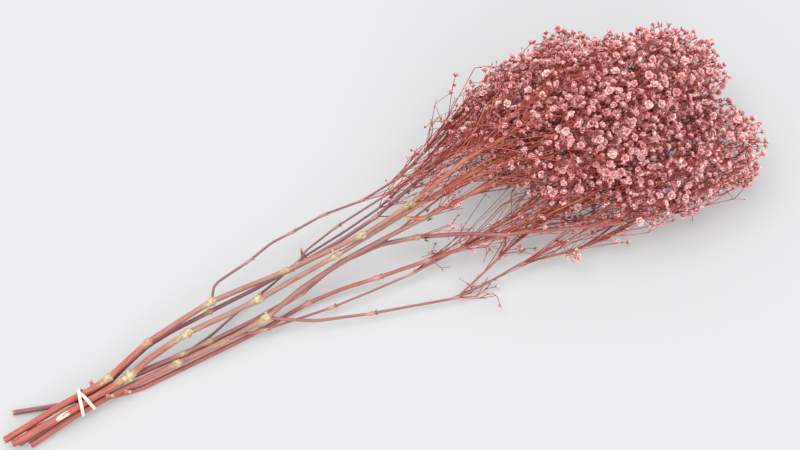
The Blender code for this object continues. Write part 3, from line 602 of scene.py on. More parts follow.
OFF_LENGTH_COST = 0.6
FORK_REACH = (0.36, 0.56)
LAST_FORK_REACH = (0.6, 0.85)
LAST_FORK_HEADS = 4
FORK_WANDER = 0.17
FORK_WANDER_TO = 45.0
FOOT_SPREAD = 0.42
TWIG_LEAN = 0.16
SIDE_X = (5.0, 118.0)
SIDE_SPRAYS = 3
SIDE_HEADS = (2, 5)
SIDE_LENGTH = (18.0, 40.0)
SIDE_LEAN = (0.2, 0.5)
SIDE_SPREAD = 5.0
THREE_WAY_SHARE = 0.6
THREE_WAY_HEADS = 5
THREE_WAY_WIDTH = 0.25
TWIG_TAPER = 0.85
FINE_WITHIN = 0.4
SHADE_OF_PLACE = (0.37, 0.73, 0.59)
BUD_SHARE = 0.55
BUD_REACH = (3.0, 13.0)
BUD_LEAN = 0.55
BUD_PEDICEL = (0.9, 0.8)
TWIG_STREAKS = (1.5, 60.0, 0.42, 0.66)
TWIG_RELIEF = (3.0, 400.0, 0.3, 0.7)
TWIG_RED = "A2342B"
TWIG_BROWN = "A4664C"
TWIG_PINK = "B4555A"
TWIG_WINE = "6A2A2C"
TWIG_ORANGE = "B66A48"

# The form of a twig: places along it, and how thick it is there. It thickens where it forks.
LONG_TWIG = 14.0
LONG_TWIG_FORM = ((0.0, 1.3), (0.12, 1.0), (0.5, 0.95), (0.9, 0.95), (1.0, 1.3))
SHORT_TWIG_FORM = ((0.0, 1.2), (0.45, 0.95), (1.0, 1.2))


def jitter(draw, size):
    """A random offset, with this spread in each direction."""
    return np.array([draw.gauss(0, size) for _ in range(3)])


def inside(point, scale):
    """Whether a point lies in one of the cloud's lobes, drawn in or out by a factor."""
    for middle, half in LOBES:
        if sum(((point[k] - middle[k]) / (half[k] * scale)) ** 2 for k in range(3)) < 1.0:
            return True
    return False


def place_heads(draw):
    """The places of the flower heads: spread through the outer part of the cloud."""
    volumes = [half[0] * half[1] * half[2] for _, half in LOBES]
    cells = {}
    places = []
    for _ in range(HEAD_DARTS):
        middle, half = draw.choices(LOBES, volumes)[0]
        way = Vector((draw.gauss(0, 1), draw.gauss(0, 1), draw.gauss(0, 1))).normalized()
        depth = draw.uniform(*(STRAY if draw.random() < STRAY_SHARE else SHELL))
        x, y, z = (middle[k] + half[k] * way[k] * depth for k in range(3))
        z = min(max(z, HEAD_LOW + draw.random() * HEAD_LOW_SPREAD), CLOUD_TOP)
        if draw.random() > THINNEST + (1 - THINNEST) * smooth(THIN_FROM_X, THIN_TO_X, x):
            continue
        waves = [math.sin(2 * math.pi * (v + CLUMP_BEND * math.sin(v / CLUMP_BEND_SIZE + k)) / size + k)
                 for k, (v, size) in enumerate(zip((x, y, z), CLUMP_SIZE))]
        clump = sum(waves) / 3
        if draw.random() < CLUMP_GAPS * smooth(*CLUMP_EDGE, clump):
            continue
        if z < UNDERSIDE_Z and draw.random() > UNDERSIDE_SHARE:
            continue
        if inside((x, y, z), CLEAR_CORE) and draw.random() < CLEAR_CORE_SHARE:
            continue
        cell = tuple(int(v // HEAD_SPACING) for v in (x, y, z))
        near = [other for i in (-1, 0, 1) for j in (-1, 0, 1) for k in (-1, 0, 1)
                for other in cells.get((cell[0] + i, cell[1] + j, cell[2] + k), ())]
        if any((x - a) ** 2 + (y - b) ** 2 + (z - c) ** 2 < HEAD_SPACING ** 2 for a, b, c in near):
            continue
        cells.setdefault(cell, []).append((x, y, z))
        places.append(np.array((x, y, z)))
        if len(places) == HEAD_COUNT:
            break
    return places


class Port:
    """A joint or an end of a branch that carries a spray."""

    def __init__(self, route, index):
        last = len(route.points) - 1
        self.stem = route.stem
        self.point = route.points[index].copy()
        self.beside = (route.points[max(index - 1, 0)], route.points[min(index + 1, last)])
        self.way = unit(self.beside[1] - self.beside[0])
        self.heads = []

    def foot(self, draw):
        """A place on the branch, at the joint or a little way from it."""
        return self.point + (draw.choice(self.beside) - self.point) * draw.uniform(0.0, FOOT_SPREAD)


def share_out(heads, ports, length, crossing, draw):
    """Gives each head to a port that reaches it directly, with sprays of one length that cross a little."""
    where = np.array([port.point for port in ports])
    ways = np.array([port.way for port in ports])
    for head in heads:
        to_head = head - where
        far = np.linalg.norm(to_head, axis=1)
        straight = np.einsum("ij,ij->i", to_head, ways) / far
        cost = far * (FAR_COST - STRAIGHT_SAVES * straight) + OFF_LENGTH_COST * np.abs(far - length)
        cost *= 1.0 + crossing * np.array([draw.random() for _ in ports])
        cost[straight < STRAIGHTEST] += cost.max()
        ports[int(np.argmin(cost))].heads.append(head)


def split(heads, at, way, draw):
    """Parts the heads into the two or three groups that the twigs of one fork lead to."""
    off = heads - at
    off = off - np.outer(off @ way, way)
    values, axes = np.linalg.eigh(off.T @ off)
    wide = axes[:, 2]
    round_enough = len(heads) >= THREE_WAY_HEADS and values[1] > THREE_WAY_WIDTH * values[2]
    if round_enough and draw.random() < THREE_WAY_SHARE:
        other = np.cross(way, wide)
        angles = np.arctan2(off @ other, off @ wide)
        order = np.argsort(angles)
        turned = angles[order]
        holes = np.diff(np.concatenate([turned, [turned[0] + 2 * math.pi]]))
        order = np.roll(order, -(int(np.argmax(holes)) + 1))
        third = len(heads) / 3
        cuts = [0, round(third), round(2 * third), len(heads)]
        return [heads[order[cuts[k]:cuts[k + 1]]] for k in range(3)]
    side = off @ wide
    if side.min() >= 0 or side.max() < 0:
        side = side - np.median(side)
    return [part for part in (heads[side < 0], heads[side >= 0]) if len(part)]


class Spray:
    """What grows from the ports of one stem: its twigs as lines, and its flower heads."""

    def __init__(self):
        self.twigs = []
        self.pedicels = []
        self.heads = []
        self.forks = []

    def add_twig(self, lines, start, way, end, radius, end_radius):
        """One twig, which sets off a little along its parent's direction and thickens at its ends."""
        long = np.linalg.norm(end - start)
        lean = start + way * long * TWIG_LEAN
        form = LONG_TWIG_FORM if long > LONG_TWIG else SHORT_TWIG_FORM
        point = np.array([start * (1 - t) ** 2 + lean * 2 * t * (1 - t) + end * t * t for t, _ in form])
        thickness = np.array([(radius + (end_radius - radius) * t) * knot for t, knot in form])
        point[:, 2] = np.maximum(point[:, 2], thickness)
        a, b, c = SHADE_OF_PLACE
        lines.append({
            "point": (point + SHIFT) * MM,
            "thickness": thickness * MM,
            "fine": np.full(len(point), max(0.0, 1.0 - (radius - PEDICEL_RADIUS) / FINE_WITHIN)),
            "shade": np.full(len(point), (start[0] * a + start[1] * b + end[2] * c) % 1.0),
        })
        return unit(end - lean)

    def grow(self, start, way, heads, draw):
        """One twig and all that it carries."""
        count = len(heads)
        radius = PEDICEL_RADIUS + TWIG_GROWTH * math.sqrt(count - 1)
        if count == 1:
            ahead = self.add_twig(self.pedicels, start, way, heads[0], radius, radius)
            self.heads.append((heads[0], ahead, False))
            return
        middle = heads.mean(axis=0)
        reach = LAST_FORK_REACH if count <= LAST_FORK_HEADS else FORK_REACH
        at = start + (middle - start) * draw.uniform(*reach)
        wander = FORK_WANDER * min(np.linalg.norm(at - start), FORK_WANDER_TO)
        at = at + jitter(draw, wander)
        at[2] = min(max(at[2], radius), CLOUD_TOP)
        ahead = self.add_twig(self.twigs, start, way, at, radius, radius * TWIG_TAPER)
        self.forks.append((at, ahead, radius))
        if draw.random() < BUD_SHARE:
            aim = ahead + jitter(draw, BUD_LEAN)
            bud = at + unit(aim) * draw.uniform(*BUD_REACH)
            bud[2] = min(max(bud[2], HEAD_LOW), CLOUD_TOP)
            foot_radius, tip_radius = (PEDICEL_RADIUS * share for share in BUD_PEDICEL)
            tip_way = self.add_twig(self.pedicels, at, ahead, bud, foot_radius, tip_radius)
            self.heads.append((bud, tip_way, True))
        for group in split(heads, at, unit(middle - at), draw):
            self.grow(at, ahead, group, draw)


def dyed_twig_material():
    """Dyed dry twig, as it grew: thin hard wire, dull, streaked brown, some dyed darker or more orange."""
    material, tree, shader = new_material("dyed_dry_twig_wiry", roughness=0.6, ior=1.45, gloss=0.2)
    fine, shade = (add_node(tree, "ShaderNodeAttribute", attribute_name=name).outputs["Fac"]
                   for name in ("fine", "shade"))
    tip = add_node(tree, "ShaderNodeMath", {0: fine, 1: 0.5}, operation="MULTIPLY")
    dark = add_node(tree, "ShaderNodeMapRange", {
        "Value": shade, "From Min": 0.45, "From Max": 0.0, "To Min": 0.0, "To Max": 0.85})
    light = add_node(tree, "ShaderNodeMapRange", {
        "Value": shade, "From Min": 0.65, "From Max": 1.0, "To Min": 0.0, "To Max": 0.7})
    bark = colour(TWIG_RED)
    for share, over in ((streaks(tree, *TWIG_STREAKS), TWIG_BROWN), (tip, TWIG_PINK), (dark, TWIG_WINE),
                        (light, TWIG_ORANGE)):
        bark = add_node(tree, "ShaderNodeMix", {0: share, 6: bark, 7: colour(over)}, data_type="RGBA")
    show(tree, shader, bark, streaks(tree, *TWIG_RELIEF), strength=0.4, depth=0.0002)
    return material


spray_draw = random.Random(5)
ports = []
for route in routes.values():
    for k in range(len(route.points)):
        last = k == len(route.points) - 1
        if last or (route.swell[k] and route.points[k][0] > SPRAY_FROM_X):
            ports.append(Port(route, k))
heads = place_heads(spray_draw)
long_count = int(len(heads) * LONG_SHARE)
long_ports = []
for route in routes.values():
    for k in range(1, len(route.points) - 1):
        if route.swell[k] and LONG_FROM_X < route.points[k][0] < LONG_TO_X:
            long_ports.append(Port(route, k))
share_out(heads[:long_count], long_ports, LONG_LENGTH, LONG_CROSSING, spray_draw)
share_out(heads[long_count:], ports, SPRAY_LENGTH, SHORT_CROSSING, spray_draw)
twig_material = dyed_twig_material()
sprays = {}
for name in STEMS:
    sprays[name] = Spray()
    for port in long_ports + ports:
        if port.stem == name and port.heads:
            for part in split(np.array(port.heads), port.point, port.way, spray_draw):
                foot = port.foot(spray_draw)
                for group in split(part, foot, port.way, spray_draw):
                    sprays[name].grow(foot, port.way, group, spray_draw)
    for port in long_ports:
        if port.stem == name and SIDE_X[0] < port.point[0] < SIDE_X[1]:
            for _ in range(SIDE_SPRAYS):
                aside = unit(np.cross(port.way, jitter(spray_draw, 1)))
                aim = unit(port.way + aside * spray_draw.uniform(*SIDE_LEAN))
                tip = port.point + aim * spray_draw.uniform(*SIDE_LENGTH)
                count = spray_draw.randint(*SIDE_HEADS)
                group = np.array([tip + jitter(spray_draw, SIDE_SPREAD) for _ in range(count)])
                group[:, 2] = np.maximum(group[:, 2], HEAD_LOW)
                sprays[name].grow(port.point, aim, group, spray_draw)
    for kind, sides, lines in (("twigs_", TWIG_SIDES, sprays[name].twigs),
                               ("pedicels_", PEDICEL_SIDES, sprays[name].pedicels)):
        twigs = grow_tubes(kind + name, lines, sides, twig_material)
        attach(twigs, "root")
        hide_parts("stem_" + name)


# The flower heads.
# Each is a small double flower of thin crumpled petals in a five-sided cup, at the end of its twig.
# Dried and dyed, the petals are papery: red at the foot and pale pink at the tip, partly their dye
# and partly painted shade deep in the head.
HEAD_SIZE = (2.1, 3.7)
HEAD_SKEW = 1.3
BUD_SIZE = (1.0, 1.8)
SMALLER_X = (20.0, 180.0)
SMALLEST = 0.62
YOUNG_BUDS_X = (60.0, 140.0)
YOUNG_BUDS = 0.75
HEAD_SWAY = 0.3
HEAD_RISE = 0.5
HEAD_CLEAR = 1.35
BUD_BLUSH = 0.4
PALE_BY_CHANCE = 0.6
PALE_BY_SIZE = 0.6
PETAL_BELLY = 0.7
PETAL_CURL = (0.05, 0.42)
PETAL_TWIST = 0.16
PETAL_FOOT = (0.2, 0.08)
PETAL_EDGE = 0.14
PETAL_MIDDLE = (0.08, 0.1)
PETAL_TIP_SWAY = 0.12
PETAL_THICKNESS = 0.04
PETAL_TIPS = (0.0, 0.85, 1.0, 0.85, 0.6, 0.55)
PETAL_TURNS = 0.16
PETAL_TILTS = 12
PETAL_LENGTHS = (0.85, 1.08)
PETAL_WIDTHS = (0.85, 1.1)
CUP_RIMS = ((-0.3, 0.12), (0.0, 0.32), (0.34, 0.34))
CUP_SIDES = 5
CRUMPLE_SIZE = 1.0
CALYX_RED = "9C2F28"
CALYX_OLIVE = "8A6844"
# The foot colours are partly the petals' dye and partly painted shade deep in the head
FOOT_RED_AND_SHADE = "C2343A"
FOOT_ROSE_AND_SHADE = "E6757C"
TIP_ROSE = "F2ACAC"
TIP_PALE = "FCE3DD"

# Each kind of head: its rings of petals, as count, lean from the axis in degrees, length and width
HEAD_KINDS = {
    "head_1_double": [(5, 78, 1.0, 1.1), (4, 46, 1.0, 0.95), (3, 16, 0.9, 0.8)],
    "head_2_flat": [(6, 88, 1.02, 1.0), (4, 56, 0.95, 0.95), (3, 24, 0.75, 0.8)],
    "head_3_round": [(5, 94, 0.98, 1.15), (5, 60, 1.0, 0.95), (3, 24, 0.9, 0.8)],
    "head_4_half": [(4, 46, 1.05, 1.1), (3, 14, 1.05, 0.85)],
    "head_5_cup": [(5, 62, 1.0, 1.1), (3, 26, 0.95, 0.9)],
    "head_6_bud": [(3, 14, 1.0, 0.95)],
}
KIND_SHARES = (0.26, 0.2, 0.26, 0.1, 0.12, 0.06)


def add_petal(mesh, tip_layer, turn, lean, length, width, belly, draw):
    """A thin closed petal: a spoon whose two faces meet at its edge, twisted and curled at the tip."""
    out = Vector((math.cos(turn), math.sin(turn), 0))
    up = Vector((0, 0, 1))
    side = up.cross(out)
    way = out * math.sin(lean) + up * math.cos(lean)
    face = up * math.sin(lean) - out * math.cos(lean)
    curl = draw.uniform(*PETAL_CURL)
    twist = draw.uniform(-PETAL_TWIST, PETAL_TWIST)
    foot = up * PETAL_FOOT[0] + out * PETAL_FOOT[1]
    edge_left = foot + way * length * belly + side * width * 0.5 + face * (PETAL_EDGE + twist)
    edge_right = foot + way * length * belly - side * width * 0.5 + face * (PETAL_EDGE - twist)
    tip = foot + way * length + face * curl + side * draw.uniform(-PETAL_TIP_SWAY, PETAL_TIP_SWAY)
    middle = foot + way * length * (belly - PETAL_MIDDLE[0]) - face * PETAL_MIDDLE[1]
    front = middle + face * PETAL_THICKNESS
    back = middle - face * PETAL_THICKNESS
    places = [foot, edge_left, tip, edge_right, front, back]
    verts = []
    for place, share in zip(places, PETAL_TIPS):
        vert = mesh.verts.new(place)
        vert[tip_layer] = share
        verts.append(vert)
    foot, left, tip, right, front, back = verts
    rim = ((foot, left), (left, tip), (tip, right), (right, foot))
    mesh.faces.new((foot, front, tip, left))
    mesh.faces.new((foot, right, tip, front))
    mesh.faces.new((foot, left, tip, back))
    mesh.faces.new((foot, back, tip, right))
    for a, b in rim:
        mesh.edges.get((a, b)).smooth = False


def smooth_mesh(mesh, name):
    """Turns a shape into a mesh with smooth faces."""
    for face in mesh.faces:
        face.smooth = True
    data = bpy.data.meshes.new(name)
    mesh.to_mesh(data)
    mesh.free()
    return data


def head_mesh(name, rings, belly, has_cup, draw):
    """One kind of flower head, or of scales round a twig, of unit radius and opening along +Z."""
    mesh = bmesh.new()
    tip_layer = mesh.verts.layers.float.new("tip")
    cup_layer = mesh.faces.layers.int.new("cup")
    for count, lean, length, width in rings:
        first = draw.uniform(0, 2 * math.pi)
        for k in range(count):
            turn = first + 2 * math.pi * (k + draw.uniform(-PETAL_TURNS, PETAL_TURNS)) / count
            tilt = math.radians(lean + draw.uniform(-PETAL_TILTS, PETAL_TILTS))
            add_petal(mesh, tip_layer, turn, tilt, length * draw.uniform(*PETAL_LENGTHS),
                      width * draw.uniform(*PETAL_WIDTHS), belly, draw)
    rims = []
    turns = [2 * math.pi * k / CUP_SIDES for k in range(CUP_SIDES)]
    for high, wide in CUP_RIMS if has_cup else ():
        rims.append([mesh.verts.new((math.cos(turn) * wide, math.sin(turn) * wide, high)) for turn in turns])
    cup = [mesh.faces.new(list(reversed(rims[0]))), mesh.faces.new(rims[-1])] if has_cup else []
    for low, high in zip(rims, rims[1:]):
        for k in range(CUP_SIDES):
            n = (k + 1) % CUP_SIDES
            cup.append(mesh.faces.new((low[k], low[n], high[n], high[k])))
    for face in cup:
        face[cup_layer] = 1
    return smooth_mesh(mesh, name)


def make_head_tree():
    """Sets one kind of head on each point, turned along its twig, and realizes them all."""
    tree, given, output = new_tree("Heads on twigs", {
        "Kinds": "NodeSocketCollection", "Petals": "NodeSocketMaterial", "Cups": "NodeSocketMaterial"})
    kinds = add_node(tree, "GeometryNodeCollectionInfo", {
        "Collection": given["Kinds"], "Separate Children": True, "Reset Children": True})
    kind, size, way, spin, cup = (
        add_node(tree, "GeometryNodeInputNamedAttribute", {"Name": name}, data_type=form)
        for name, form in (("kind", "INT"), ("size", "FLOAT"), ("way", "FLOAT_VECTOR"), ("spin", "FLOAT"),
                           ("cup", "INT")))
    aim = add_node(tree, "FunctionNodeAlignRotationToVector", {"Vector": way}, axis="Z")
    own = add_node(tree, "FunctionNodeAxisAngleToRotation", {"Axis": (0, 0, 1), "Angle": spin})
    turned = add_node(tree, "FunctionNodeRotateRotation", {0: aim, 1: own}, rotation_space="LOCAL")
    heads = add_node(tree, "GeometryNodeInstanceOnPoints", {
        "Points": given["Geometry"], "Instance": kinds, "Pick Instance": True, "Instance Index": kind,
        "Rotation": turned, "Scale": size})
    real = add_node(tree, "GeometryNodeRealizeInstances", {"Geometry": heads})
    petals = add_node(tree, "GeometryNodeSetMaterial", {"Geometry": real, "Material": given["Petals"]})
    cups = add_node(tree, "GeometryNodeSetMaterial", {
        "Geometry": petals, "Selection": cup, "Material": given["Cups"]})
    tree.links.new(cups.outputs[0], output.inputs[0])
    return tree


def head_row(place, way, is_bud, draw):
    """One head as a point: its place, kind, size in millimetres, turn, direction and paleness."""
    tilt = jitter(draw, HEAD_SWAY) + np.array((0.0, 0.0, HEAD_RISE))
    grown = draw.random() ** HEAD_SKEW
    size = HEAD_SIZE[0] + (HEAD_SIZE[1] - HEAD_SIZE[0]) * grown
    bud = len(HEAD_KINDS) - 1
    kind = bud if is_bud else draw.choices(range(len(HEAD_KINDS)), KIND_SHARES)[0]
    if draw.random() < YOUNG_BUDS * (1.0 - smooth(*YOUNG_BUDS_X, place[0])):
        kind = bud
    if kind == bud:
        size = draw.uniform(*BUD_SIZE)
    size *= SMALLEST + (1.0 - SMALLEST) * smooth(*SMALLER_X, place[0])
    paleness = min(1.0, draw.random() * PALE_BY_CHANCE + grown * PALE_BY_SIZE)
    return {"place": place, "kind": kind, "size": min(size, place[2] / HEAD_CLEAR),
            "spin": draw.uniform(0, 2 * math.pi), "way": unit(way + tilt),
            "blush": paleness * (BUD_BLUSH if is_bud else 1.0)}


def points_mesh(rows):
    """Points that each carry a kind, a size, a turn, a direction and a colour share."""
    data = bpy.data.meshes.new("points")
    data.from_pydata([((row["place"] + SHIFT) * MM).tolist() for row in rows], [], [])
    forms = (("kind", "INT", 1), ("size", "FLOAT", MM), ("spin", "FLOAT", 1), ("blush", "FLOAT", 1))
    for key, form, scale in forms:
        data.attributes.new(key, form, "POINT").data.foreach_set("value", [row[key] * scale for row in rows])
    ways = np.concatenate([row["way"] for row in rows])
    data.attributes.new("way", "FLOAT_VECTOR", "POINT").data.foreach_set("vector", ways)
    return data


def scatter(tree, kinds, rows, name, material, cup_material):
    """Sets the kinds in a list of meshes on points, as one object with a plain mesh."""
    group = bpy.data.collections.new(name + "_kinds")
    for data in kinds:
        group.objects.link(bpy.data.objects.new(data.name, data))
    thing = build(tree, points_mesh(rows), name, {"Kinds": group, "Petals": material, "Cups": cup_material})
    for kind in list(group.objects):
        bpy.data.objects.remove(kind)
    bpy.data.collections.remove(group)
    return thing


def patches(tree, often, detail):
    """Noise in soft patches, from a number of them on a metre."""
    place = add_node(tree, "ShaderNodeTexCoord").outputs["Object"]
    return add_node(tree, "ShaderNodeTexNoise", {"Vector": place, "Scale": often, "Detail": detail})


def dyed_petal_material():
    """Dyed dry petal: thin matt paper, red at its foot and pale at its edge, partly its dye and partly
    painted shade deep in the head.

    Its real veins are 0.2 mm apart, too fine to show, so its crumple is drawn 1 mm wide.
    """
    material, tree, shader = new_material("dyed_dry_petal_papery", roughness=0.75, ior=1.4, gloss=0.3)
    tip, blush = (add_node(tree, "ShaderNodeAttribute", attribute_name=name).outputs["Fac"]
                  for name in ("tip", "blush"))
    # The foot is darker partly from its dye and partly as painted shade deep in the head
    foot, edge = (
        add_node(tree, "ShaderNodeMix", {0: blush, 6: colour(red), 7: colour(pink)}, data_type="RGBA")
        for red, pink in ((FOOT_RED_AND_SHADE, FOOT_ROSE_AND_SHADE), (TIP_ROSE, TIP_PALE)))
    crumple = patches(tree, often=1 / (CRUMPLE_SIZE * MM), detail=2.0)
    stain = add_node(tree, "ShaderNodeMath", {0: crumple, 1: 0.5, 2: 0.75}, operation="MULTIPLY_ADD")
    share = add_node(tree, "ShaderNodeMath", {0: tip, 1: stain}, operation="MULTIPLY", use_clamp=True)
    whole = add_node(tree, "ShaderNodeMix", {0: share, 6: foot, 7: edge}, data_type="RGBA")
    show(tree, shader, whole, crumple, strength=0.5, depth=0.0003)
    return material


def dyed_cup_material():
    """Dyed dry calyx, as it grew: a dull red brown cup, olive in patches, darker than the petals on it."""
    material, tree, shader = new_material("dyed_dry_calyx", roughness=0.65, ior=1.45, gloss=0.2)
    share = add_node(tree, "ShaderNodeMapRange", {
        "Value": patches(tree, often=300.0, detail=2.0), "From Min": 0.45, "From Max": 0.7})
    whole = add_node(tree, "ShaderNodeMix", {0: share, 6: colour(CALYX_RED), 7: colour(CALYX_OLIVE)},
                     data_type="RGBA")
    show(tree, shader, whole)
    return material


head_draw = random.Random(23)
head_kinds = [head_mesh(name, rings, PETAL_BELLY, True, head_draw) for name, rings in HEAD_KINDS.items()]
head_tree = make_head_tree()
petal_material = dyed_petal_material()
cup_material = dyed_cup_material()
for name in STEMS:
    rows = [head_row(*head, head_draw) for head in sprays[name].heads]
    flowers = scatter(head_tree, head_kinds, rows, "flower_heads_" + name, petal_material, cup_material)
    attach(flowers, "root")
    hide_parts("stem_" + name)


# The bracts and the last bits of leaf.
# Most joints and thick forks keep a pair or a ring of small dry scales that grew there, papery and tan.
# A few joints also hold a shrivelled bit of leaf that stayed green.

# Each kind of bract: its ring of scales, as count, lean from the axis in degrees, length and width
BRACT_KINDS = {
    "bract_1_pair": [(2, 50, 1.0, 0.5)],
    "bract_2_wide": [(2, 66, 1.0, 0.6)],
    "bract_3_ring": [(3, 58, 0.9, 0.5)],
}
LEAF_FORM = (2, 24, 1.0, 0.3)
BRACT_BELLY = 0.3
BRACT_SIZE = (2.3, 0.9)
FORK_BRACT = 0.6
JOINT_BRACT_VARIES = (0.9, 1.25)
FORK_BRACT_VARIES = (0.8, 1.1)
BRACT_FROM_X = -190.0
BRACT_LEAST_RADIUS = 0.42
BRACT_TAN = "D6B498"
BRACT_ROSE = "B5655A"
LEAF_SIZE = 5.5
LEAF_GREEN = "627A50"
LEAF_DRY = "8E8A58"

# Each bit of leaf: the stem, its place and its direction
LEAVES = [("A", (31, 31, 46), (0.2, 0.75, 0.6)), ("A", (24, 20, 46), (0.6, -0.3, 0.8)),
          ("D", (28, 3, 23), (0.7, -0.5, 0.6)), ("C", (36, 12, 33), (0.3, -0.6, 0.8)),
          ("C", (38, 18, 33), (0.8, 0.3, 0.6))]


def bract_rows(name, draw):
    """The places of one stem's bracts: round its joints, and at the thicker forks of its sprays."""
    rows = []
    for route in routes.values():
        for k in range(1, len(route.points) - 1):
            if route.stem == name and route.swell[k] and route.points[k][0] > BRACT_FROM_X:
                way = unit(route.points[k + 1] - route.points[k])
                size = BRACT_SIZE[0] + BRACT_SIZE[1] * route.radii[k] * draw.uniform(*JOINT_BRACT_VARIES)
                rows.append((route.points[k] + way * COLLAR_PLACE, way, size))
    for place, way, radius in sprays[name].forks:
        if radius > BRACT_LEAST_RADIUS:
            size = BRACT_SIZE[0] + BRACT_SIZE[1] * radius * draw.uniform(*FORK_BRACT_VARIES)
            rows.append((place, way, FORK_BRACT * size))
    return [{"place": place, "way": way, "size": min(size, place[2] / HEAD_CLEAR),
             "kind": draw.randrange(len(BRACT_KINDS)), "spin": draw.uniform(0, 2 * math.pi),
             "blush": draw.random()} for place, way, size in rows]


def papery_scale_material(name, first, second):
    """Dry bract or leaf, as it grew: thin, dull and curled, of two shades in patches."""
    material, tree, shader = new_material(name, roughness=0.7, ior=1.45)
    blush = add_node(tree, "ShaderNodeAttribute", attribute_name="blush").outputs["Fac"]
    patch = patches(tree, often=250.0, detail=3.0)
    share = add_node(tree, "ShaderNodeMath", {0: patch, 1: blush}, operation="ADD")
    span = add_node(tree, "ShaderNodeMapRange", {"Value": share, "From Min": 0.6, "From Max": 1.2})
    whole = add_node(tree, "ShaderNodeMix", {0: span, 6: colour(first), 7: colour(second)}, data_type="RGBA")
    show(tree, shader, whole)
    return material


bract_draw = random.Random(31)
bract_kinds = [head_mesh(name, rings, BRACT_BELLY, False, bract_draw) for name, rings in BRACT_KINDS.items()]
leaf_kinds = [head_mesh("leaf_bit", [LEAF_FORM], BRACT_BELLY, False, bract_draw)]
bract_material = papery_scale_material("dyed_dry_bract_papery", BRACT_TAN, BRACT_ROSE)
leaf_material = papery_scale_material("dry_green_leaf_shrivelled", LEAF_GREEN, LEAF_DRY)
for name in STEMS:
    rows = bract_rows(name, bract_draw)
    bracts = scatter(head_tree, bract_kinds, rows, "bracts_" + name, bract_material, bract_material)
    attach(bracts, "root")
    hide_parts("stem_" + name)
    rows = [{"place": np.array(place, float), "way": unit(way), "size": LEAF_SIZE, "kind": 0,
             "spin": bract_draw.uniform(0, 2 * math.pi), "blush": bract_draw.random()}
            for stem, place, way in LEAVES if stem == name]
    if rows:
        leaves = scatter(head_tree, leaf_kinds, rows, "leaf_bits_" + name, leaf_material, leaf_material)
        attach(leaves, "root")
        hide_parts("stem_" + name)


# The cut and torn ends.
# Each stem was snapped off at its foot, which left a ring of split fibres round a soft pith. One more
# tear, on stem B just before the rubber band, shows the pale wood where a side shoot was pulled off.
TORN_SIDES = 6
SPLINTERS = 22
SPLINTER_LENGTH = (0.2, 2.0)
SPLINTER_RADIUS = (0.2, 0.42)
SPLINTER_FOOT = 1.2
SPLINTER_TURNS = 0.3
SPLINTER_PLACE = (0.6, 0.86)
SPLINTER_LEAN = (-0.1, 0.16)
SPLINTER_PALE = (0.1, 0.8)
PITH_PROUD = 0.35
TEAR_X = (-281.0, -272.5)
TEAR_SPLINTERS = 26
TEAR_TURN = (-75, 5)
TEAR_DEPTH = 0.93
TEAR_WAY = np.array((1.0, 0.05, 0.0))
TEAR_LEAN = (0.0, 0.22)
TEAR_LENGTH = (2.5, 5.5)
TEAR_RADIUS = (0.35, 0.65)
TEAR_PALE = (0.75, 1.0)
TORN_STREAKS = (1.5, 300.0, 0.3, 0.7)
TORN_TAN = "A87E50"
TORN_CREAM = "E6D3BC"
PITH_DARK = "6E4030"

# The form of a split fibre: places along it, and how thick it is there. It ends in a point.
FIBRE_FORM = ((0.0, 1.0), (0.45, 0.95), (0.8, 0.6), (1.0, 0.15))

# The form of the pith's end: places along it, how thick it is there and how pale
PITH_FORM = ((0.0, 0.8, 0.3), (0.6, 0.8, 0.3), (0.9, 0.72, 0.35), (1.0, 0.4, 0.0))


def fibre(start, way, length, radius, pale):
    """One split fibre of wood, thick at its foot and pointed at its end."""
    shares, thickness = np.array(FIBRE_FORM).T
    point = start + np.outer(shares * length, unit(way))
    point[:, 2] = np.maximum(point[:, 2], radius)
    return {
        "point": (point + SHIFT) * MM,
        "thickness": radius * thickness * MM,
        "torn": np.full(len(shares), pale),
    }


def torn_lines(name, draw):
    """The split fibres and the pith at the foot of one stem."""
    route = routes[name]
    foot = route.points[0]
    way = unit(foot - route.points[1])
    across = unit(np.cross(way, (0.0, 0.0, 1.0)))
    over = np.cross(across, way)
    radius = route.radii[0]
    shares, thickness, torn = np.array(PITH_FORM).T
    lines = [{
        "point": (foot - way + np.outer(shares * (1.0 + PITH_PROUD), way) + SHIFT) * MM,
        "thickness": radius * thickness * MM,
        "torn": torn,
    }]
    for k in range(SPLINTERS):
        turn = 2 * math.pi * (k + draw.uniform(-SPLINTER_TURNS, SPLINTER_TURNS)) / SPLINTERS
        out = across * math.cos(turn) + over * math.sin(turn)
        start = foot - way * SPLINTER_FOOT + out * radius * draw.uniform(*SPLINTER_PLACE)
        aim = way + out * draw.uniform(*SPLINTER_LEAN)
        length = SPLINTER_FOOT + draw.uniform(*SPLINTER_LENGTH)
        lines.append(fibre(start, aim, length, draw.uniform(*SPLINTER_RADIUS), draw.uniform(*SPLINTER_PALE)))
    return lines


def tear_lines(draw):
    """The torn patch on the upper near side of stem B: pale fibres that stand out of it a little."""
    lines = []
    for _ in range(TEAR_SPLINTERS):
        centre, radius = routes["B"].near_foot(draw.uniform(*TEAR_X))
        turn = math.radians(draw.uniform(*TEAR_TURN))
        out = np.array((0.0, math.sin(turn), math.cos(turn)))
        aim = TEAR_WAY + out * draw.uniform(*TEAR_LEAN)
        lines.append(fibre(centre + out * radius * TEAR_DEPTH, aim, draw.uniform(*TEAR_LENGTH),
                           draw.uniform(*TEAR_RADIUS), draw.uniform(*TEAR_PALE)))
    return lines


def torn_wood_material():
    """Torn dry stem: dull tan wood, dark in streaks, and cream where its fibres were split."""
    material, tree, shader = new_material("torn_dry_wood_fibrous", roughness=0.8, ior=1.45)
    torn = add_node(tree, "ShaderNodeAttribute", attribute_name="torn").outputs["Fac"]
    wood = colour(PITH_DARK)
    for share, shade in ((streaks(tree, *TORN_STREAKS), TORN_TAN), (torn, TORN_CREAM)):
        wood = add_node(tree, "ShaderNodeMix", {0: share, 6: wood, 7: colour(shade)}, data_type="RGBA")
    show(tree, shader, wood)
    return material


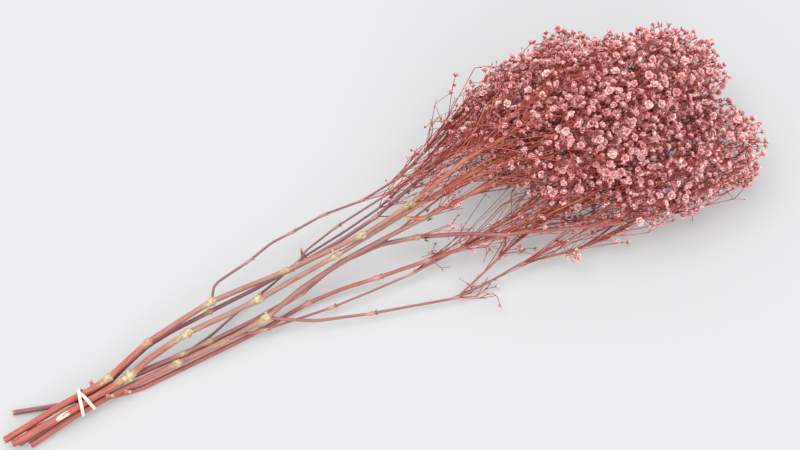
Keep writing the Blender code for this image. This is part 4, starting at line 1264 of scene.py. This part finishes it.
torn_draw = random.Random(17)
torn_material = torn_wood_material()
for name in STEMS:
    lines = torn_lines(name, torn_draw) + (tear_lines(torn_draw) if name == "B" else [])
    torn = grow_tubes("torn_ends_" + name, lines, TORN_SIDES, torn_material)
    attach(torn, "root")
    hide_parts("stem_" + name)


# The rubber band.
# One loop of cream latex, wound twice round the stems near their cut ends. Its turns cross on the far
# upper side, where one climbs the other, and only their grip holds it.
BAND_WIDTH = 2.7
BAND_THICKNESS = 1.1
BAND_TURNS_APART = 5.0
BAND_STEPS = 192
BAND_LOWEST = 0.02
BAND_GAP = 0.15
BAND_SIDES = 12
BAND_ROUNDING = (0.6, 0.8)
BAND_LEANS = np.radians(np.arange(-84, 85, 3))
STEM_POINTS = 48
BAND_CROSSING = math.radians(52)
BAND_CLIMB = (1.35, 0.75)
TIE_X = -257.0
BAND_CREAM = "DCCFC4"
BAND_SHADE = "C4B0A1"


def tie_outline(x):
    """Points round each stem where it passes through one section of the tie."""
    outline = []
    for name in STEMS:
        middle, radius = routes[name].near_foot(x)
        for k in range(STEM_POINTS):
            angle = 2 * math.pi * k / STEM_POINTS
            outline.append(middle[1:] + np.array([math.cos(angle), math.sin(angle)]) * radius)
    return np.array(outline)


def band_reach(rim, out):
    """How far a stretched band stands from the middle of the stems in one direction."""
    reach = math.inf
    for lean in BAND_LEANS:
        way = np.array([out[0] * math.cos(lean) - out[1] * math.sin(lean),
                        out[0] * math.sin(lean) + out[1] * math.cos(lean)])
        reach = min(reach, np.max(rim @ way) / math.cos(lean))
    return reach


def band_mesh():
    """The band's loop, wound twice, as one closed strip with round edges."""
    rim = tie_outline(TIE_X)
    middle = (rim.max(axis=0) + rim.min(axis=0)) / 2
    profile = []
    for k in range(BAND_SIDES):
        angle = 2 * math.pi * (k + 0.5) / BAND_SIDES
        across = math.copysign(abs(math.cos(angle)) ** BAND_ROUNDING[0], math.cos(angle)) * BAND_WIDTH / 2
        up = math.copysign(abs(math.sin(angle)) ** BAND_ROUNDING[1], math.sin(angle)) * BAND_THICKNESS / 2
        profile.append((across, up))
    mesh = bmesh.new()
    loops = []
    for i in range(BAND_STEPS):
        t = 4 * math.pi * i / BAND_STEPS
        out = np.array([math.cos(t + BAND_CROSSING), math.sin(t + BAND_CROSSING)])
        x = TIE_X + BAND_TURNS_APART * math.sin(t / 2)
        reach = band_reach(tie_outline(x) - middle, out)
        lift = (BAND_THICKNESS + STEM_GAP) * smooth(*BAND_CLIMB, abs(t - 2 * math.pi))
        centre = middle + out * (reach + BAND_GAP + BAND_THICKNESS / 2 + lift)
        loop = []
        for across, up in profile:
            y, z = centre + out * up
            loop.append(mesh.verts.new((np.array((x + across, y, max(z, BAND_LOWEST))) + SHIFT) * MM))
        loops.append(loop)
    for here, there in zip(loops, loops[1:] + loops[:1]):
        for k in range(BAND_SIDES):
            n = (k + 1) % BAND_SIDES
            mesh.faces.new((here[k], here[n], there[n], there[k]))
    bmesh.ops.recalc_face_normals(mesh, faces=mesh.faces)
    return smooth_mesh(mesh, "rubber_band")


def latex_material():
    """Cream latex rubber, extruded and cut: dull, with a powdery bloom in soft patches."""
    material, tree, shader = new_material("cream_latex_rubber", roughness=0.5, ior=1.52)
    bloom = patches(tree, often=420.0, detail=4.0)
    whole = add_node(tree, "ShaderNodeMix", {0: bloom, 6: colour(BAND_SHADE), 7: colour(BAND_CREAM)},
                     data_type="RGBA")
    show(tree, shader, whole, bloom, strength=0.3, depth=0.0002)
    return material


band = bpy.data.objects.new("rubber_band", band_mesh())
bpy.context.scene.collection.objects.link(band)
band.data.materials.append(latex_material())
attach(band, "root")
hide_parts("tie")


# The table, the light and the camera.
# The bunch lies on a plain white acrylic surface, lit softly from above on the left and from low on the
# near side. The surface has a painted glow, though it is no lamp, so that shadows on it stay
# faint. It is seen from above.
CAMERA_YAW = math.radians(-29.3)
CAMERA_HEIGHT = math.radians(60)
CAMERA_DISTANCE = 1.244
CAMERA_TARGET = Vector((0.0313, 0.0186, 0.0))
CAMERA_LENS = 70
SENSOR_WIDTH = 36
TABLE_SIZE = 8.0
TABLE_WHITE = "949495"
TABLE_GLOW = 0.25
GLOW_WHITE = (1.0, 1.0, 1.0, 1.0)
ROOM_WHITE = "F2F3F5"
ROOM_STRENGTH = 1.45
LAMP_AIM = Vector((0.1, 0.0, 0.02))

# Each softbox: its power in watts, its width and its place in metres
SOFTBOXES = [("softbox_above", 40, 2.6, (-0.5, 0.7, 2.2)), ("softbox_low_near", 16, 1.4, (-0.3, -1.7, 0.8))]

floor = bpy.data.objects.new("table", bpy.data.meshes.new("table"))
half = TABLE_SIZE / 2
corners = [(-half, -half, 0), (half, -half, 0), (half, half, 0), (-half, half, 0)]
floor.data.from_pydata(corners, [], [(0, 1, 2, 3)])
bpy.context.scene.collection.objects.link(floor)
table_material, table_tree, table_shader = new_material("white_table_matt", roughness=0.8, ior=1.45)
table_shader.inputs["Base Color"].default_value = colour(TABLE_WHITE)
# Painted glow: the table gives off light of its own, which lightens the shadows on it
table_shader.inputs["Emission Color"].default_value = GLOW_WHITE
table_shader.inputs["Emission Strength"].default_value = TABLE_GLOW
floor.data.materials.append(table_material)

camera = bpy.data.objects.new("camera", bpy.data.cameras.new("camera"))
camera.data.lens = CAMERA_LENS
camera.data.sensor_width = SENSOR_WIDTH
flat = math.cos(CAMERA_HEIGHT)
look = Vector((-math.sin(CAMERA_YAW) * flat, math.cos(CAMERA_YAW) * flat, -math.sin(CAMERA_HEIGHT)))
camera.location = CAMERA_TARGET - look * CAMERA_DISTANCE
camera.rotation_euler = look.to_track_quat("-Z", "Y").to_euler()
bpy.context.scene.collection.objects.link(camera)
bpy.context.scene.camera = camera

world = bpy.data.worlds.new("studio")
world.use_nodes = True
world.node_tree.nodes["Background"].inputs["Color"].default_value = colour(ROOM_WHITE)
world.node_tree.nodes["Background"].inputs["Strength"].default_value = ROOM_STRENGTH
bpy.context.scene.world = world
for name, energy, size, place in SOFTBOXES:
    lamp = bpy.data.objects.new(name, bpy.data.lights.new(name, "AREA"))
    lamp.data.shape = "DISK"
    lamp.data.size = size
    lamp.data.energy = energy
    lamp.location = place
    lamp.rotation_euler = (LAMP_AIM - lamp.location).to_track_quat("-Z", "Y").to_euler()
    bpy.context.scene.collection.objects.link(lamp)
bpy.context.scene.view_settings.view_transform = "Standard"
